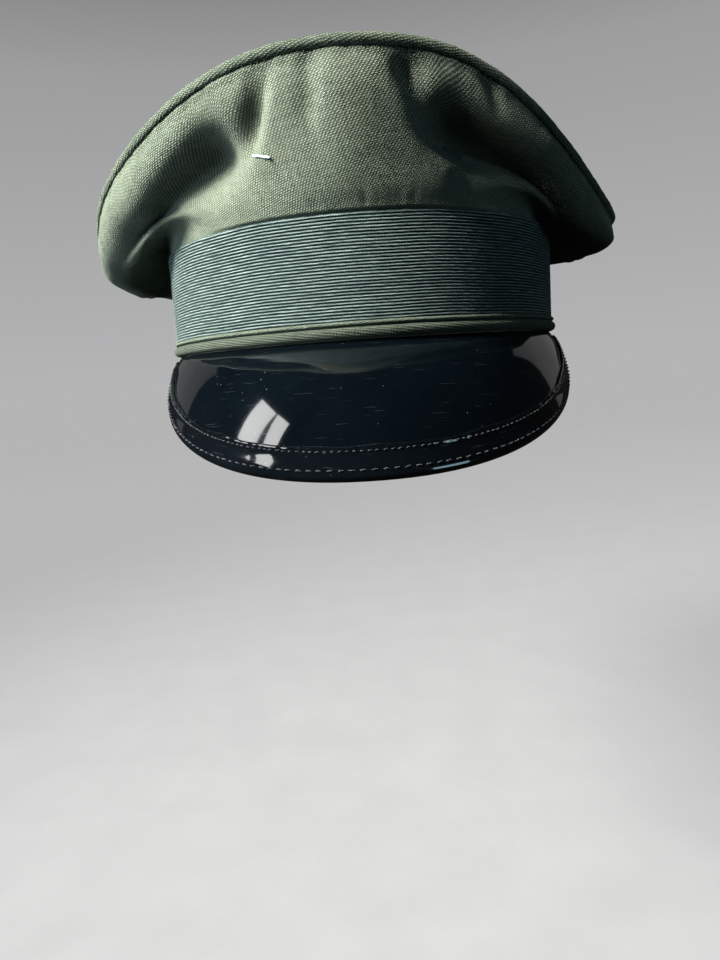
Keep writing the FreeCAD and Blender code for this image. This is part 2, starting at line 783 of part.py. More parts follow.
def tag_fastener():
    """A plastic barb left in the front panel, lying almost level on the cloth."""
    rise_out, rise_z = WALL_RISE
    shoulder = rim_z(FASTENER_ANGLE) - SHOULDER_DROP
    part = (FASTENER_Z - rise_z) / (shoulder - rise_z)
    wall_out = mix(rise_out, rim_width(FASTENER_ANGLE) + WALL_EDGE_OUT, part)
    middle = place(FASTENER_ANGLE, wall_out + FASTENER_PROUD, FASTENER_Z)
    along = Vector(1.0, -0.33, -0.15).normalize()
    start = middle - along * (0.5 * FASTENER_LENGTH)
    return Part.makeCylinder(FASTENER_RADIUS, FASTENER_LENGTH, start, along)


def build():
    pieces = crown_wall_panels()
    pieces["crown_top_panel"] = crown_top_panel()
    pieces["crown_welt"] = crown_welt()
    pieces["crown_welt_cord"] = crown_welt_cord()
    pieces["grommet_wire"] = grommet_wire()
    pieces["grommet_ferrule"] = grommet_ferrule()
    pieces["front_stay"] = front_stay()
    pieces["crown_interlining"] = crown_interlining()
    pieces["crown_lining_top"] = crown_lining_top()
    pieces["crown_lining_wall"] = crown_lining_wall()
    pieces["sweat_shield"] = sweat_shield()

    pieces["ribbed_braid"] = oval_ring(0.0, BRAID_THICKNESS, BRAID_BOTTOM, BRAID_TOP)
    pieces["band_cloth"] = oval_ring(CLOTH_INSET, BAND_CLOTH_THICKNESS, 0.0, BAND_CLOTH_TOP)
    pieces["band_stiffener"] = oval_ring(
        STIFFENER_INSET, STIFFENER_THICKNESS, STIFFENER_BOTTOM, STIFFENER_TOP
    )
    welt, welt_cord = bead(0.0, WELT_HEIGHT, WELT_PROUD, WELT_CLOTH)
    pieces["lower_welt"] = welt
    pieces["lower_welt_cord"] = welt_cord
    piping, piping_cord = bead(PIPING_BOTTOM, PIPING_HEIGHT, PIPING_PROUD, PIPING_CLOTH)
    pieces["band_piping"] = piping
    pieces["band_piping_cord"] = piping_cord
    pieces["sweatband"] = oval_ring(
        SWEATBAND_INSET, SWEATBAND_THICKNESS, SWEATBAND_BOTTOM, SWEATBAND_TOP
    )
    pieces["sweatband_reed"] = sweatband_reed()
    pieces["sweatband_stitches"] = sweatband_stitches()
    pieces["sweatband_join_strip"] = sweatband_join_strip()
    pieces["forehead_pad"] = forehead_pad()

    pieces["peak_top_skin"] = peak_layer(0.0, TOP_SKIN)
    pieces["peak_core"] = peak_core()
    pieces["peak_under_skin"] = peak_layer(TOP_SKIN + PEAK_CORE, UNDER_SKIN)
    pieces["peak_binding"] = peak_binding()
    pieces["peak_inner_stitches"] = peak_thread(inner_stitch_distance, INNER_STITCH_PITCH)
    pieces["peak_outer_stitches"] = peak_thread(outer_stitch_distance, OUTER_STITCH_PITCH)
    pieces["tag_fastener"] = tag_fastener()
    return pieces


def main():
    os.makedirs("parts", exist_ok=True)
    for name, shape in build().items():
        shape.exportStep("parts/" + name + ".step")


main()
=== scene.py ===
import math

import bpy
import numpy as np
from mathutils import Matrix, Vector


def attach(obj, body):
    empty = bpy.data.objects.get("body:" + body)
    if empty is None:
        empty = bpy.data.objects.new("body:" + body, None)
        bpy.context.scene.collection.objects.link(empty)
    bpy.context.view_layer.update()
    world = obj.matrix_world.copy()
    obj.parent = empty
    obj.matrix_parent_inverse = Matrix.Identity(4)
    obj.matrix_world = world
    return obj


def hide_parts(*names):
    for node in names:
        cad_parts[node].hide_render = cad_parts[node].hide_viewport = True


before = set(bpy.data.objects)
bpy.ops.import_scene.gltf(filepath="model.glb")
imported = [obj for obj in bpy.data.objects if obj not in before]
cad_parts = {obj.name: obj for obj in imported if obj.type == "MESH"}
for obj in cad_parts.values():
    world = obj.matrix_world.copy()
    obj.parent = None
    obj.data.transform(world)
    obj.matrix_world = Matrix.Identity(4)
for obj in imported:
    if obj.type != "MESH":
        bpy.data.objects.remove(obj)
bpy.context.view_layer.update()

# Military peaked cap. Lengths are in millimetres until Skin.build turns them into metres.
# Angles go round the head in degrees: 0 is the front (-Y), positive towards the wearer's left (+X).
METRE = 0.001
CHANCE = np.random.default_rng(7)
UP = np.array([0.0, 0.0, 1.0])

# ---- Driving sizes, matched to the frame's ---------------------------------------------------
BAND_HALF_WIDTH = 88.0
BAND_HALF_LENGTH = 106.0
BRAID_BOTTOM = 6.2
BRAID_TOP = 42.2
BRAID_THICKNESS = 1.2
SLOT_INSET = 3.2
SWEATBAND_INSET = 4.8
SWEATBAND_THICKNESS = 1.0
SWEATBAND_TOP = 36.0
REED_INSET = 5.3
REED_ROLL = 1.35                # radius of the leather rolled round the reed
RIM_HALF_WIDTH = 119.3
RIM_HALF_LENGTH = 127.0
RIM_CENTRE = np.array([-0.7, 14.0, 0.0])
RIM_FRONT_Z = 92.6
RIM_REAR_Z = 50.0
RIM_RISE_ANGLE = 45.5           # how far round from the front the raised part reaches
RIM_RISE_SHARPNESS = 2.6
RIM_LEAN = 7.5                  # the wearer's left flank hangs this much lower, the right higher
RIM_LEAN_ANGLE = 55.0
RIM_LEAN_SPREAD = 25.0
TOP_CENTRE_Z = 74.0
TOP_FALLOFF = 1.9
CLOTH_THICKNESS = 0.9
LOBE_LOW_Z = 33.0
LOBE_FRONT_LIFT = 1.5           # how much higher it is in front, at the back and behind the left ear
LOBE_REAR_LIFT = 4.0
LOBE_TUCK = 4.5
LOBE_TUCK_ANGLE = 115.0
LOBE_TUCK_SPREAD = 32.0
UPRIGHT_TO_ANGLE = 25.0         # the wall stands upright in front, as far round as this
HANGING_FROM_ANGLE = 70.0       # and hangs in full lobes from here back
REAR_EASE = 0.25                # part of the hang that is lost again at the back
SIDE_SEAM_ANGLE = 100.0
INTERLINING_HALF_ANGLE = 55.0
TOP_REACH = 1.0 - 1.9 / 124.0   # edges of the sheets under and on top, as parts of the way to the rim
LINING_REACH = 0.8
SHIELD_REACH = 0.49
LINING_THICKNESS = 0.3
LINING_FOOT_Z = 30.0
LINING_NECK_Z = 40.0
PAD_HALF_ANGLE = 36.0
PAD_BOTTOM = 8.2
PAD_TOP = 28.0
PEAK_CORNER_Y = -27.0
PEAK_HALF_WIDTH = 86.2
PEAK_REACH = 114.5
PEAK_TIP_Z = -42.6
PEAK_CORNER_Z = -5.0
PEAK_SWEEP = 2.4
PEAK_THICKNESS = 2.6
TOP_SKIN = 0.9
UNDER_SKIN = 0.7
BINDING_WIDTH = 9.6
BINDING_UNDER = 6.5
BINDING_THICKNESS = 0.6
BINDING_CLEAR = 0.1
# Millimetres of arc for a degree, which give the ripples their real lengths.
WALL_ARC = 2.0
RIM_ARC = 2.17
BAND_ARC = 1.7
LINING_ARC = 1.75
SWEATBAND_ARC = 1.65


# ---- Small helpers ---------------------------------------------------------------------------
def smooth_step(low, high, value):
    t = np.clip((value - low) / (high - low), 0.0, 1.0)
    return t * t * (3.0 - 2.0 * t)


def mix(first, second, amount):
    return first + (second - first) * amount


def bell(value, centre, spread):
    return np.exp(-(((value - centre) / spread) ** 2))


def unit(vectors):
    return vectors / np.linalg.norm(vectors, axis=-1, keepdims=True)


def ripple(value, lengths, seed):
    """A smooth uneven wave along a length: several sines with seeded phases, about -1 to 1."""
    phases = np.random.default_rng(seed).uniform(0.0, 2.0 * math.pi, len(lengths))
    waves = [np.sin(2.0 * math.pi * value / length + phase) for length, phase in zip(lengths, phases)]
    return sum(waves) / math.sqrt(len(lengths))


def clamped_weights(count, t):
    """Share of each of count control points, at each t from 0 to 1 of a clamped cubic spline."""
    spans = count - 3
    knots = np.concatenate([np.zeros(4), np.arange(1, spans), np.full(4, spans)]) / spans
    t = np.clip(t, 0.0, 1.0 - 1e-9)[:, None]
    shares = ((knots[:-1] <= t) & (t < knots[1:])).astype(float)
    for degree in (1, 2, 3):
        grown = np.zeros((len(t), shares.shape[1] - 1))
        for i in range(shares.shape[1] - 1):
            rise = knots[i + degree] - knots[i]
            fall = knots[i + degree + 1] - knots[i + 1]
            if rise > 0:
                grown[:, i] += (t[:, 0] - knots[i]) / rise * shares[:, i]
            if fall > 0:
                grown[:, i] += (knots[i + degree + 1] - t[:, 0]) / fall * shares[:, i + 1]
        shares = grown
    return shares


def spline_rows(poles, steps):
    """Points at steps from 0 to 1 along the clamped cubic spline of each row of control points."""
    return np.einsum("tk,akx->atx", clamped_weights(poles.shape[1], steps), poles)


def run_along(points, axis):
    """Length run along one axis of a grid of points, from 0."""
    steps = np.linalg.norm(np.diff(points, axis=axis), axis=-1)
    start = np.zeros_like(np.take(steps, [0], axis))
    return np.concatenate([start, np.cumsum(steps, axis=axis)], axis=axis)


def along_line(at, run, points):
    """Places on a line of points, given the run at each point and the runs wanted."""
    return np.stack([np.interp(at, run, points[:, axis]) for axis in range(3)], -1)


def even_lengths(rows, count):
    """The same rows of points, resampled to equal steps along each row."""
    wanted = np.linspace(0.0, 1.0, count)
    return np.stack([along_line(wanted, far / far[-1], row) for far, row in zip(run_along(rows, 1), rows)])


def normals_of(points, closed):
    """Unit normals of a grid of points: first axis x second axis."""
    if closed:
        along = np.roll(points, -1, axis=0) - np.roll(points, 1, axis=0)
    else:
        along = np.gradient(points, axis=0)
    return unit(np.cross(along, np.gradient(points, axis=1)))


# ---- One piece's mesh ------------------------------------------------------------------------
class Skin:
    """Collects the surfaces of one piece, then makes one mesh of them."""

    def __init__(self):
        self.points = []
        self.faces = []
        self.corners = []
        self.shades = []
        self.count = 0

    def add_points(self, points, shade):
        flat = points.reshape(-1, 3)
        self.points.append(flat)
        self.shades.append(np.broadcast_to(shade, points.shape[:-1]).reshape(-1))
        first = self.count
        self.count += len(flat)
        return first + np.arange(len(flat)).reshape(points.shape[:-1])

    def quads(self, index, uv):
        """Faces over a grid of point numbers, with one uv for each place in the grid."""
        corner = [(0, 0), (1, 0), (1, 1), (0, 1)]
        rows, columns = index.shape
        cut = [(slice(r, rows - 1 + r), slice(c, columns - 1 + c)) for r, c in corner]
        self.faces.append(np.stack([index[s] for s in cut], -1).reshape(-1, 4))
        self.corners.append(np.stack([uv[s] for s in cut], -2).reshape(-1, 2))

    def slab(self, outer, inner, closed=False, uv=None, shade=0.0):
        """A sheet with thickness: two matching grids joined round their edges."""
        front = self.add_points(outer, shade)
        back = self.add_points(inner, shade)
        if closed:
            front = np.concatenate([front, front[:1]])
            back = np.concatenate([back, back[:1]])
            outer = np.concatenate([outer, outer[:1]])
        uv = length_uv(outer) if uv is None else uv
        self.quads(front, uv)
        self.quads(back[:, ::-1], uv[:, ::-1])
        borders = [(front[:, 0], back[:, 0], uv[:, 0]), (back[:, -1], front[:, -1], uv[:, -1])]
        if not closed:
            borders += [(back[0], front[0], uv[0]), (front[-1], back[-1], uv[-1])]
        for one, other, line in borders:
            self.quads(np.stack([other, one], 1), np.stack([line, line], 1))
        return self

    def tube(self, sections, closed=False, shade=0.0):
        """A skin over looped sections, with flat ends where it isn't closed."""
        index = self.add_points(sections, shade)
        loop = np.concatenate([sections, sections[:, :1]], axis=1)
        index = np.concatenate([index, index[:, :1]], axis=1)
        if closed:
            loop = np.concatenate([loop, loop[:1]])
            index = np.concatenate([index, index[:1]])
        uv = length_uv(loop)
        self.quads(index, uv)
        if not closed:
            for row, line in ((index[0, ::-1], uv[0, ::-1]), (index[-1], uv[-1])):
                half = (len(row) - 1) // 2
                one = row[:half]
                other = row[:-1][::-1][:half]
                self.quads(np.stack([other, one], 1), np.stack([line[:half], line[:half]], 1))
        return self

    def build(self, name, material, slot, nodes=(), sharp=50.0):
        """The finished piece: its mesh in metres, with its uvs, standing for its frame nodes."""
        mesh = bpy.data.meshes.new(name)
        points = np.concatenate(self.points) * METRE
        mesh.from_pydata(points.tolist(), [], np.concatenate(self.faces).tolist())
        layer = mesh.uv_layers.new(name="lengths")
        layer.data.foreach_set("uv", (np.concatenate(self.corners) * METRE).ravel())
        # shade: a value at each point that the braid's colour turns into painted light, lit rib tops and
        # shaded grooves; other pieces leave it at 0
        shade = mesh.attributes.new("shade", "FLOAT", "POINT")
        shade.data.foreach_set("value", np.concatenate(self.shades).astype(np.float32))
        mesh.shade_smooth()
        mesh.set_sharp_from_angle(angle=math.radians(sharp))
        mesh.materials.append(material)
        piece = bpy.data.objects.new(name, mesh)
        bpy.context.scene.collection.objects.link(piece)
        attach(piece, "root")
        if nodes:
            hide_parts(*nodes)
        return piece


def length_uv(points):
    """Texture places in real lengths: along the first axis, and along the second."""
    along = run_along(points[:, points.shape[1] // 2], 0)
    return np.stack(np.broadcast_arrays(along[:, None], run_along(points, 1)), -1)


def rounds(centre, side, up, radius, count=16):
    """Round sections about centres, in the plane of each side and up direction."""
    turn = np.linspace(0.0, 2.0 * math.pi, count, endpoint=False)
    reach = np.broadcast_to(radius, centre.shape[:1] + (count,))[..., None]
    spokes = side[:, None] * np.cos(turn)[:, None] + up[:, None] * np.sin(turn)[:, None]
    return centre[:, None] + spokes * reach


def stitch_row(skin, path, up, pitch, radius, fill=0.66, sink=0.35, rise=0.22):
    """Arched stitches along a path of points: each one comes up, lies over the cloth and dives."""
    run = run_along(path, 0)
    up = np.broadcast_to(up, path.shape)
    arch = np.array([-sink, 0.25 * rise, rise, rise, 0.25 * rise, -sink])
    thick = np.array([0.8, 1.0, 1.08, 1.08, 1.0, 0.8])
    for start in np.arange(0.5 * pitch, run[-1] - pitch, pitch):
        shift = CHANCE.normal(0.0, 0.06 * pitch)
        at = start + shift + np.linspace(0.0, fill * pitch, len(arch))
        spots = along_line(at, run, path)
        lift = unit(along_line(at, run, up))
        ahead = unit(spots[-1] - spots[0])[None]
        side = unit(np.cross(ahead, lift))
        lean = CHANCE.normal(0.0, 0.05) * np.linspace(-1.0, 1.0, len(arch))[:, None]
        centre = spots + lift * (arch * CHANCE.uniform(0.85, 1.2))[:, None] + side * lean
        skin.tube(rounds(centre, side, lift, radius * thick[:, None], 8))


# ---- Shape of the cap ------------------------------------------------------------------------
def all_round(step):
    """Angles all round the head, this many degrees apart."""
    return np.arange(-180.0, 180.0, step)


def oval(half_width, half_length, angle):
    turn = np.radians(angle)
    flat = [half_width * np.sin(turn), -half_length * np.cos(turn), np.zeros_like(turn)]
    return np.stack(flat, -1)


def band_spot(angle, out, z):
    """A point a distance out from the braid's outside; negative is inside it."""
    turn = np.radians(angle)
    x = (BAND_HALF_WIDTH + out) * np.sin(turn)
    y = -(BAND_HALF_LENGTH + out) * np.cos(turn)
    return np.stack(np.broadcast_arrays(x, y, z), -1)


def rim_plan(angle):
    return RIM_CENTRE + oval(RIM_HALF_WIDTH, RIM_HALF_LENGTH, angle)


def rim_width(angle):
    return np.linalg.norm(rim_plan(angle) - oval(BAND_HALF_WIDTH, BAND_HALF_LENGTH, angle), axis=-1)


def rim_z(angle):
    rise = np.exp(-((np.abs(angle) / RIM_RISE_ANGLE) ** RIM_RISE_SHARPNESS))
    lean = bell(angle, -RIM_LEAN_ANGLE, RIM_LEAN_SPREAD) - bell(angle, RIM_LEAN_ANGLE, RIM_LEAN_SPREAD)
    return mix(RIM_REAR_Z, RIM_FRONT_Z, rise) + RIM_LEAN * lean


def place(angle, out, z):
    """A point at a height z and a distance out from the braid's outside, towards the rim."""
    start = oval(BAND_HALF_WIDTH, BAND_HALF_LENGTH, angle)
    spot = start + unit(rim_plan(angle) - start) * np.broadcast_to(out, np.shape(angle))[..., None]
    spot[..., 2] = z
    return spot


def wall_poles(angle):
    """Control points of the crown's wall at each angle, from the band up to the rim."""
    width = rim_width(angle)
    rim = rim_z(angle)
    away = np.abs(angle)
    sides = LOBE_FRONT_LIFT * (1.0 - smooth_step(75.0, 105.0, away))
    rear = LOBE_REAR_LIFT * smooth_step(110.0, 180.0, away)
    low = LOBE_LOW_Z + sides + rear + LOBE_TUCK * bell(angle, LOBE_TUCK_ANGLE, LOBE_TUCK_SPREAD)
    shoulder = rim - 9.0
    upright = [(1.5, 48.0)]
    for part in (0.28, 0.55, 0.8):
        upright.append((mix(1.5, width + 0.6, part) + 0.8, mix(48.0, shoulder, part)))
    upright.append((width + 0.6, shoulder))
    swell = 0.18 * (rim - low)
    hanging = [
        (4.5, 46.8),
        (width - 17.0, low + 2.0),
        (width - 4.0, low),
        (width + swell, mix(low, rim, 0.5) - 4.0),
        (width + 0.8 * swell, shoulder + 1.0),
    ]
    share = smooth_step(UPRIGHT_TO_ANGLE, HANGING_FROM_ANGLE, away)
    share = share * (1.0 - REAR_EASE * smooth_step(120.0, 180.0, away))
    middle = [(mix(u[0], h[0], share), mix(u[1], h[1], share)) for u, h in zip(upright, hanging)]
    poles = [(-1.4, 42.1), (-0.9, 45.0)] + middle
    poles += [(width + 0.6, rim - 1.9), (width - 2.6, rim - 1.5)]
    return np.stack([place(angle, out, z) for out, z in poles], 1)


# The folds in the wall: a line of (angle, share of the way up), the depth inwards (negative
# stands out), and the widths of the sides to the right and left of someone walking the line.
FOLDS = (
    # the sharp upright crease on the wearer's right, and the hollow it runs into
    (((-11, 0.97), (-13, 0.84), (-14.5, 0.70), (-16.5, 0.56), (-20, 0.44), (-25, 0.34)), 3.3, 5.2, 2.8),
    (((-18.5, 0.68), (-21, 0.60), (-25, 0.52), (-31, 0.45), (-39, 0.40), (-49, 0.37), (-61, 0.36),
      (-74, 0.38)), 7.2, 8.5, 8.5),
    (((-46, 0.50), (-60, 0.51), (-77, 0.54)), 4.8, 10.0, 8.0),
    (((-40, 0.27), (-52, 0.22), (-66, 0.21)), 3.2, 9.0, 8.0),
    # the shallow crease nearer the middle
    (((-6, 0.97), (-5, 0.84), (-5, 0.68), (-7, 0.52)), 1.6, 3.8, 3.4),
    # the stiffened ridge up the middle
    (((-1, 0.96), (-1, 0.70), (-2, 0.40), (-3, 0.10)), -2.4, 14.0, 14.0),
    # the long valley down to the wearer's left, and the ridge above it
    (((8.5, 0.92), (9.5, 0.82), (11, 0.70), (14, 0.56)), 4.0, 3.6, 5.0),
    (((11.5, 0.63), (14, 0.55), (18.5, 0.47), (25, 0.40), (36, 0.38), (47, 0.38), (60, 0.34)), 8.6, 4.8, 9.5),
    (((20, 0.26), (28, 0.22), (38, 0.22), (52, 0.24)), 3.6, 8.0, 9.0),
    (((11, 0.93), (16, 0.78), (23, 0.71), (31, 0.71), (39, 0.72), (48, 0.73)), -0.9, 6.0, 6.0),
    (((23, 0.98), (24, 0.88), (26, 0.74)), 1.5, 2.4, 2.4),
    (((33, 0.80), (42, 0.84), (54, 0.90)), -0.9, 4.0, 4.0),
    # soft drag folds round the sides and the back
    (((-66, 0.10), (-72, 0.35), (-84, 0.62)), 1.5, 7.0, 9.0),
    (((-98, 0.12), (-104, 0.40), (-116, 0.70)), 1.8, 8.0, 11.0),
    (((-128, 0.20), (-136, 0.50), (-141, 0.80)), 1.6, 9.0, 8.0),
    (((-158, 0.12), (-163, 0.42), (-172, 0.66)), 1.3, 8.0, 10.0),
    (((70, 0.12), (78, 0.38), (88, 0.66)), 1.4, 8.0, 8.0),
    (((104, 0.12), (112, 0.42), (118, 0.74)), 1.9, 10.0, 8.0),
    (((140, 0.18), (146, 0.48), (156, 0.76)), 1.5, 8.0, 10.0),
    (((170, 0.15), (171, 0.45), (168, 0.70)), 1.0, 6.0, 8.0),
)
WALL_RISE = 47.0                # millimetres of cloth for the whole way up the wall


def fold_depth(angle, share, line, depth, right_width, left_width):
    """Depth of one fold over a grid: soft dabs along a line, which run together into a groove."""
    marks = np.array(line, float) * (WALL_ARC, WALL_RISE)
    steps = np.linspace(0.0, 1.0, 41)
    along = clamped_weights(len(marks), steps) @ marks if len(marks) > 3 else bent(marks, steps)
    ahead = unit(np.gradient(along, axis=0))
    spacing = np.linalg.norm(np.diff(along, axis=0), axis=-1).mean()
    reach = max(3.0, 1.5 * spacing)
    total = np.zeros(np.broadcast(angle, share).shape)
    for spot, way, travel in zip(along, ahead, steps):
        dx = angle * WALL_ARC - spot[0]
        dy = share * WALL_RISE - spot[1]
        aside = dy * way[0] - dx * way[1]
        onward = dx * way[0] + dy * way[1]
        width = mix(right_width, left_width, smooth_step(-0.5 * right_width, 0.5 * left_width, aside))
        taper = smooth_step(-0.05, 0.25, travel) * smooth_step(-0.05, 0.25, 1.0 - travel)
        total += taper * np.exp(-(aside / width) ** 2 - (onward / reach) ** 2)
    return depth * total * spacing / (math.sqrt(math.pi) * reach)


def bent(marks, steps):
    """A parabola through three marks."""
    weights = np.stack([(1 - steps) * (1 - 2 * steps), 4 * steps * (1 - steps), steps * (2 * steps - 1)], 1)
    return weights @ marks


def seam_relief(angle, share):
    """The side and back seams: a groove between two low ridges of seam allowance."""
    relief = np.zeros_like(angle * share)
    for seam in (-SIDE_SEAM_ANGLE, SIDE_SEAM_ANGLE, 180.0):
        away = np.abs((angle - seam + 180.0) % 360.0 - 180.0) * WALL_ARC
        relief += 0.45 * bell(away, 4.5, 2.4) - 1.5 * bell(away, 0.0, 0.9)
        relief += 0.22 * bell(away, 0.0, 9.0) * np.sin(share * 31.0 + seam)
    return relief


def wall_relief(angle, share):
    """How far the sculpted wall stands out of its smooth form."""
    total = seam_relief(angle, share)
    puff = smooth_step(0.0, 0.035, share) * (1.0 - smooth_step(0.05, 0.34, share))
    puff = puff * (1.0 - smooth_step(26.0, 46.0, np.abs(angle)))
    for line, depth, right_width, left_width in FOLDS:
        total -= fold_depth(angle, share, line, depth, right_width, left_width)
    along = angle * WALL_ARC
    total += 0.10 * bell(share, 0.06, 0.10) * ripple(along + 6 * share, (7.2, 11.0, 5.3, 17.0), 3)
    total += 0.12 * bell(share, 0.94, 0.08) * ripple(along - 9 * share, (6.1, 9.4, 13.7), 4)
    total += 0.35 * ripple(along + 14 * share, (33.0, 52.0, 71.0), 5) * np.sin(math.pi * share)
    held = smooth_step(0.0, 0.10, share) * smooth_step(0.0, 0.05, 1.0 - share)
    return total * mix(0.15, 1.0, held) + 1.3 * puff + 1.5 * bell(share, 0.965, 0.035)


WALL_STEP = 0.5
WALL_ANGLES = all_round(WALL_STEP)
WALL_SHARES = np.linspace(0.0, 1.0, 96)


def sculpted_wall():
    """Points and normals of the crown's wall, round the ring and from the band to the rim."""
    rows = spline_rows(wall_poles(WALL_ANGLES), np.linspace(0.0, 1.0, 260))
    smooth = even_lengths(rows, len(WALL_SHARES))
    relief = wall_relief(WALL_ANGLES[:, None], WALL_SHARES)
    points = smooth + normals_of(smooth, True) * relief[..., None]
    return points, normals_of(points, True)


WALL, WALL_NORMALS = sculpted_wall()


def wall_columns(first, last):
    """Numbers of the wall's stations from one angle to another."""
    start = round((first + 180.0) / WALL_STEP)
    stop = round((last + 180.0) / WALL_STEP)
    return np.arange(start, stop + 1) % len(WALL_ANGLES)


def wall_spot(angle, share, rise):
    """A point that stands out of the sculpted wall by a rise, and the wall's normal there."""
    column = round((angle + 180.0) / WALL_STEP) % len(WALL_ANGLES)
    row = round(share * (len(WALL_SHARES) - 1))
    normal = WALL_NORMALS[column, row]
    return WALL[column, row] + normal * rise, normal


# ---- Materials -------------------------------------------------------------------------------
class Shader:
    """A node material under construction."""

    def __init__(self, name, **constants):
        self.material = bpy.data.materials.new(name)
        self.material.use_nodes = True
        tree = self.material.node_tree
        self.nodes = tree.nodes
        self.links = tree.links
        self.surface = self.nodes["Principled BSDF"]
        for key, value in constants.items():
            self.surface.inputs[key.replace("_", " ")].default_value = value

    def feed(self, socket, value):
        if isinstance(value, bpy.types.NodeSocket):
            self.links.new(value, socket)
        else:
            socket.default_value = value

    def node(self, kind, inputs=None, output=0, **settings):
        made = self.nodes.new("ShaderNode" + kind)
        for key, value in settings.items():
            setattr(made, key, value)
        for key, value in (inputs or {}).items():
            self.feed(made.inputs[key], value)
        return made.outputs[output]

    def math(self, operation, first, second=0.0, third=0.0):
        return self.node("Math", {0: first, 1: second, 2: third}, operation=operation)

    def lengths(self, turn=0.0, stretch=(1.0, 1.0, 1.0)):
        """Places on the cloth in metres, turned by an angle in degrees."""
        uv = self.node("UVMap", uv_map="lengths")
        return self.node("Mapping", {"Vector": uv, "Rotation": (0, 0, math.radians(turn)), "Scale": stretch})

    def space(self, stretch=(1.0, 1.0, 1.0)):
        """Places in the cap's own space, in metres."""
        return self.node("Mapping", {"Vector": self.node("TexCoord", output=3), "Scale": stretch})

    def noise(self, vector, size, detail=3.0, roughness=0.55):
        """Noise with blotches about this size, in metres."""
        inputs = {"Vector": vector, "Scale": 1.0 / size, "Detail": detail, "Roughness": roughness}
        return self.node("TexNoise", inputs)

    def bands(self, vector, pitch, direction="X", wobble=0.0):
        """Soft ridges this far apart, in metres, across a direction."""
        inputs = {"Vector": vector, "Scale": math.pi / (10.0 * pitch), "Distortion": wobble,
                  "Detail": 2.0, "Detail Scale": 1.1}
        return self.node("TexWave", inputs, output=1, bands_direction=direction)

    def ramp(self, value, stops):
        made = self.nodes.new("ShaderNodeValToRGB")
        self.links.new(value, made.inputs[0])
        points = made.color_ramp.elements
        while len(points) < len(stops):
            points.new(0.5)
        for point, (place_at, colour) in zip(points, stops):
            point.position = place_at
            grey = isinstance(colour, (int, float))
            point.color = (colour, colour, colour, 1.0) if grey else (*colour, 1.0)
        return made.outputs[0]

    def blend(self, amount, first, second, blend_type="MIX"):
        made = self.nodes.new("ShaderNodeMix")
        made.data_type = "RGBA"
        made.blend_type = blend_type
        for number, value in ((0, amount), (6, first), (7, second)):
            if isinstance(value, tuple):
                value = (*value, 1.0)
            self.feed(made.inputs[number], value)
        return made.outputs[2]

    def colour(self, value, *stops):
        """The base colour: a socket, or a ramp over one."""
        self.feed(self.surface.inputs["Base Color"], self.ramp(value, stops) if stops else value)

    def roughness(self, value, *stops):
        """The roughness: a socket, or a ramp over one."""
        self.feed(self.surface.inputs["Roughness"], self.ramp(value, stops) if stops else value)

    def layered(self, fine, broad, shares, dark, light, rough, relief, strength):
        """Tone from a fine pattern over a broad one, gloss from the broad one, relief from the fine."""
        level = self.math("MULTIPLY_ADD", fine, shares[0], self.math("MULTIPLY", broad, shares[1]))
        self.colour(level, dark, light)
        self.roughness(broad, *rough)
        self.bump(fine, relief, strength)
        return self.material

    def stained(self, fine, broad, tones, stain, share, rough, relief, strength):
        """Tone and relief from a fine pattern, with a stain spread by a broad one."""
        base = self.ramp(fine, tones)
        self.colour(self.blend(self.math("MULTIPLY", broad, share), base, stain))
        self.roughness(*rough)
        self.bump(fine, relief, strength)
        return self.material

    def scuffed(self, fine, broad, tones, rough, share, relief):
        """Tone and gloss from a broad pattern, with fine marks over it."""
        self.colour(broad, *tones)
        rough_at = self.ramp(broad, rough)
        self.roughness(self.math("MULTIPLY_ADD", fine, share, rough_at))
        self.bump(fine, relief, 0.5)
        return self.material

    def bump(self, height, depth, strength=1.0, under=None):
        """Relief of a real depth in metres."""
        inputs = {"Height": height, "Distance": depth, "Strength": strength}
        if under is not None:
            inputs["Normal"] = under
        normal = self.node("Bump", inputs)
        self.links.new(normal, self.surface.inputs["Normal"])
        return normal


def woven(shader, pitch, turn):
    """Height of a hopsack weave: knots of thread at this pitch, along slanting rows that lie closer."""
    columns = shader.bands(shader.lengths(turn + 45.0), pitch, "X", 2.0)
    rows = shader.bands(shader.lengths(turn), 0.70 * pitch, "Y", 2.0)
    return shader.math("MULTIPLY", columns, rows)


def cap_cloth(name, turn, dark, light, pitch=0.00100, relief=0.00016):
    """Olive hopsack: paired threads, small slubs, uneven dye and worn high spots."""
    shader = Shader(name, Sheen_Weight=0.05, Sheen_Roughness=0.4, Sheen_Tint=(0.72, 0.85, 0.68, 1.0),
                    Specular_IOR_Level=0.12)
    weave = woven(shader, pitch, turn)
    streaks = shader.noise(shader.lengths(turn, (1.0, 0.06, 1.0)), 0.0011, 2.0)
    dye = shader.noise(shader.space(), 0.022, 4.0, 0.6)
    slubs = shader.noise(shader.lengths(turn, (0.25, 1.0, 1.0)), 0.0016, 3.0, 0.7)
    level = shader.math("MULTIPLY_ADD", streaks, 0.25, shader.math("MULTIPLY", weave, 0.75))
    level = shader.math("MULTIPLY_ADD", slubs, 0.4, level)
    base = shader.ramp(level, [(0.26, dark), (1.0, light)])
    dyed = shader.blend(shader.ramp(dye, [(0.3, 0.0), (0.75, 1.0)]), (0.86, 0.90, 0.88), (1.1, 1.08, 1.04))
    worn = shader.ramp(shader.node("NewGeometry", output=7), [(0.515, 0.0), (0.60, 0.3)])
    shader.colour(shader.blend(worn, shader.blend(1.0, base, dyed, "MULTIPLY"), (0.20, 0.23, 0.18)))
    shader.roughness(slubs, (0.3, 0.78), (0.8, 0.95))
    fuzz = shader.bump(slubs, 0.00012, 0.5)
    shader.bump(weave, relief, 0.9, fuzz)
    return shader.material


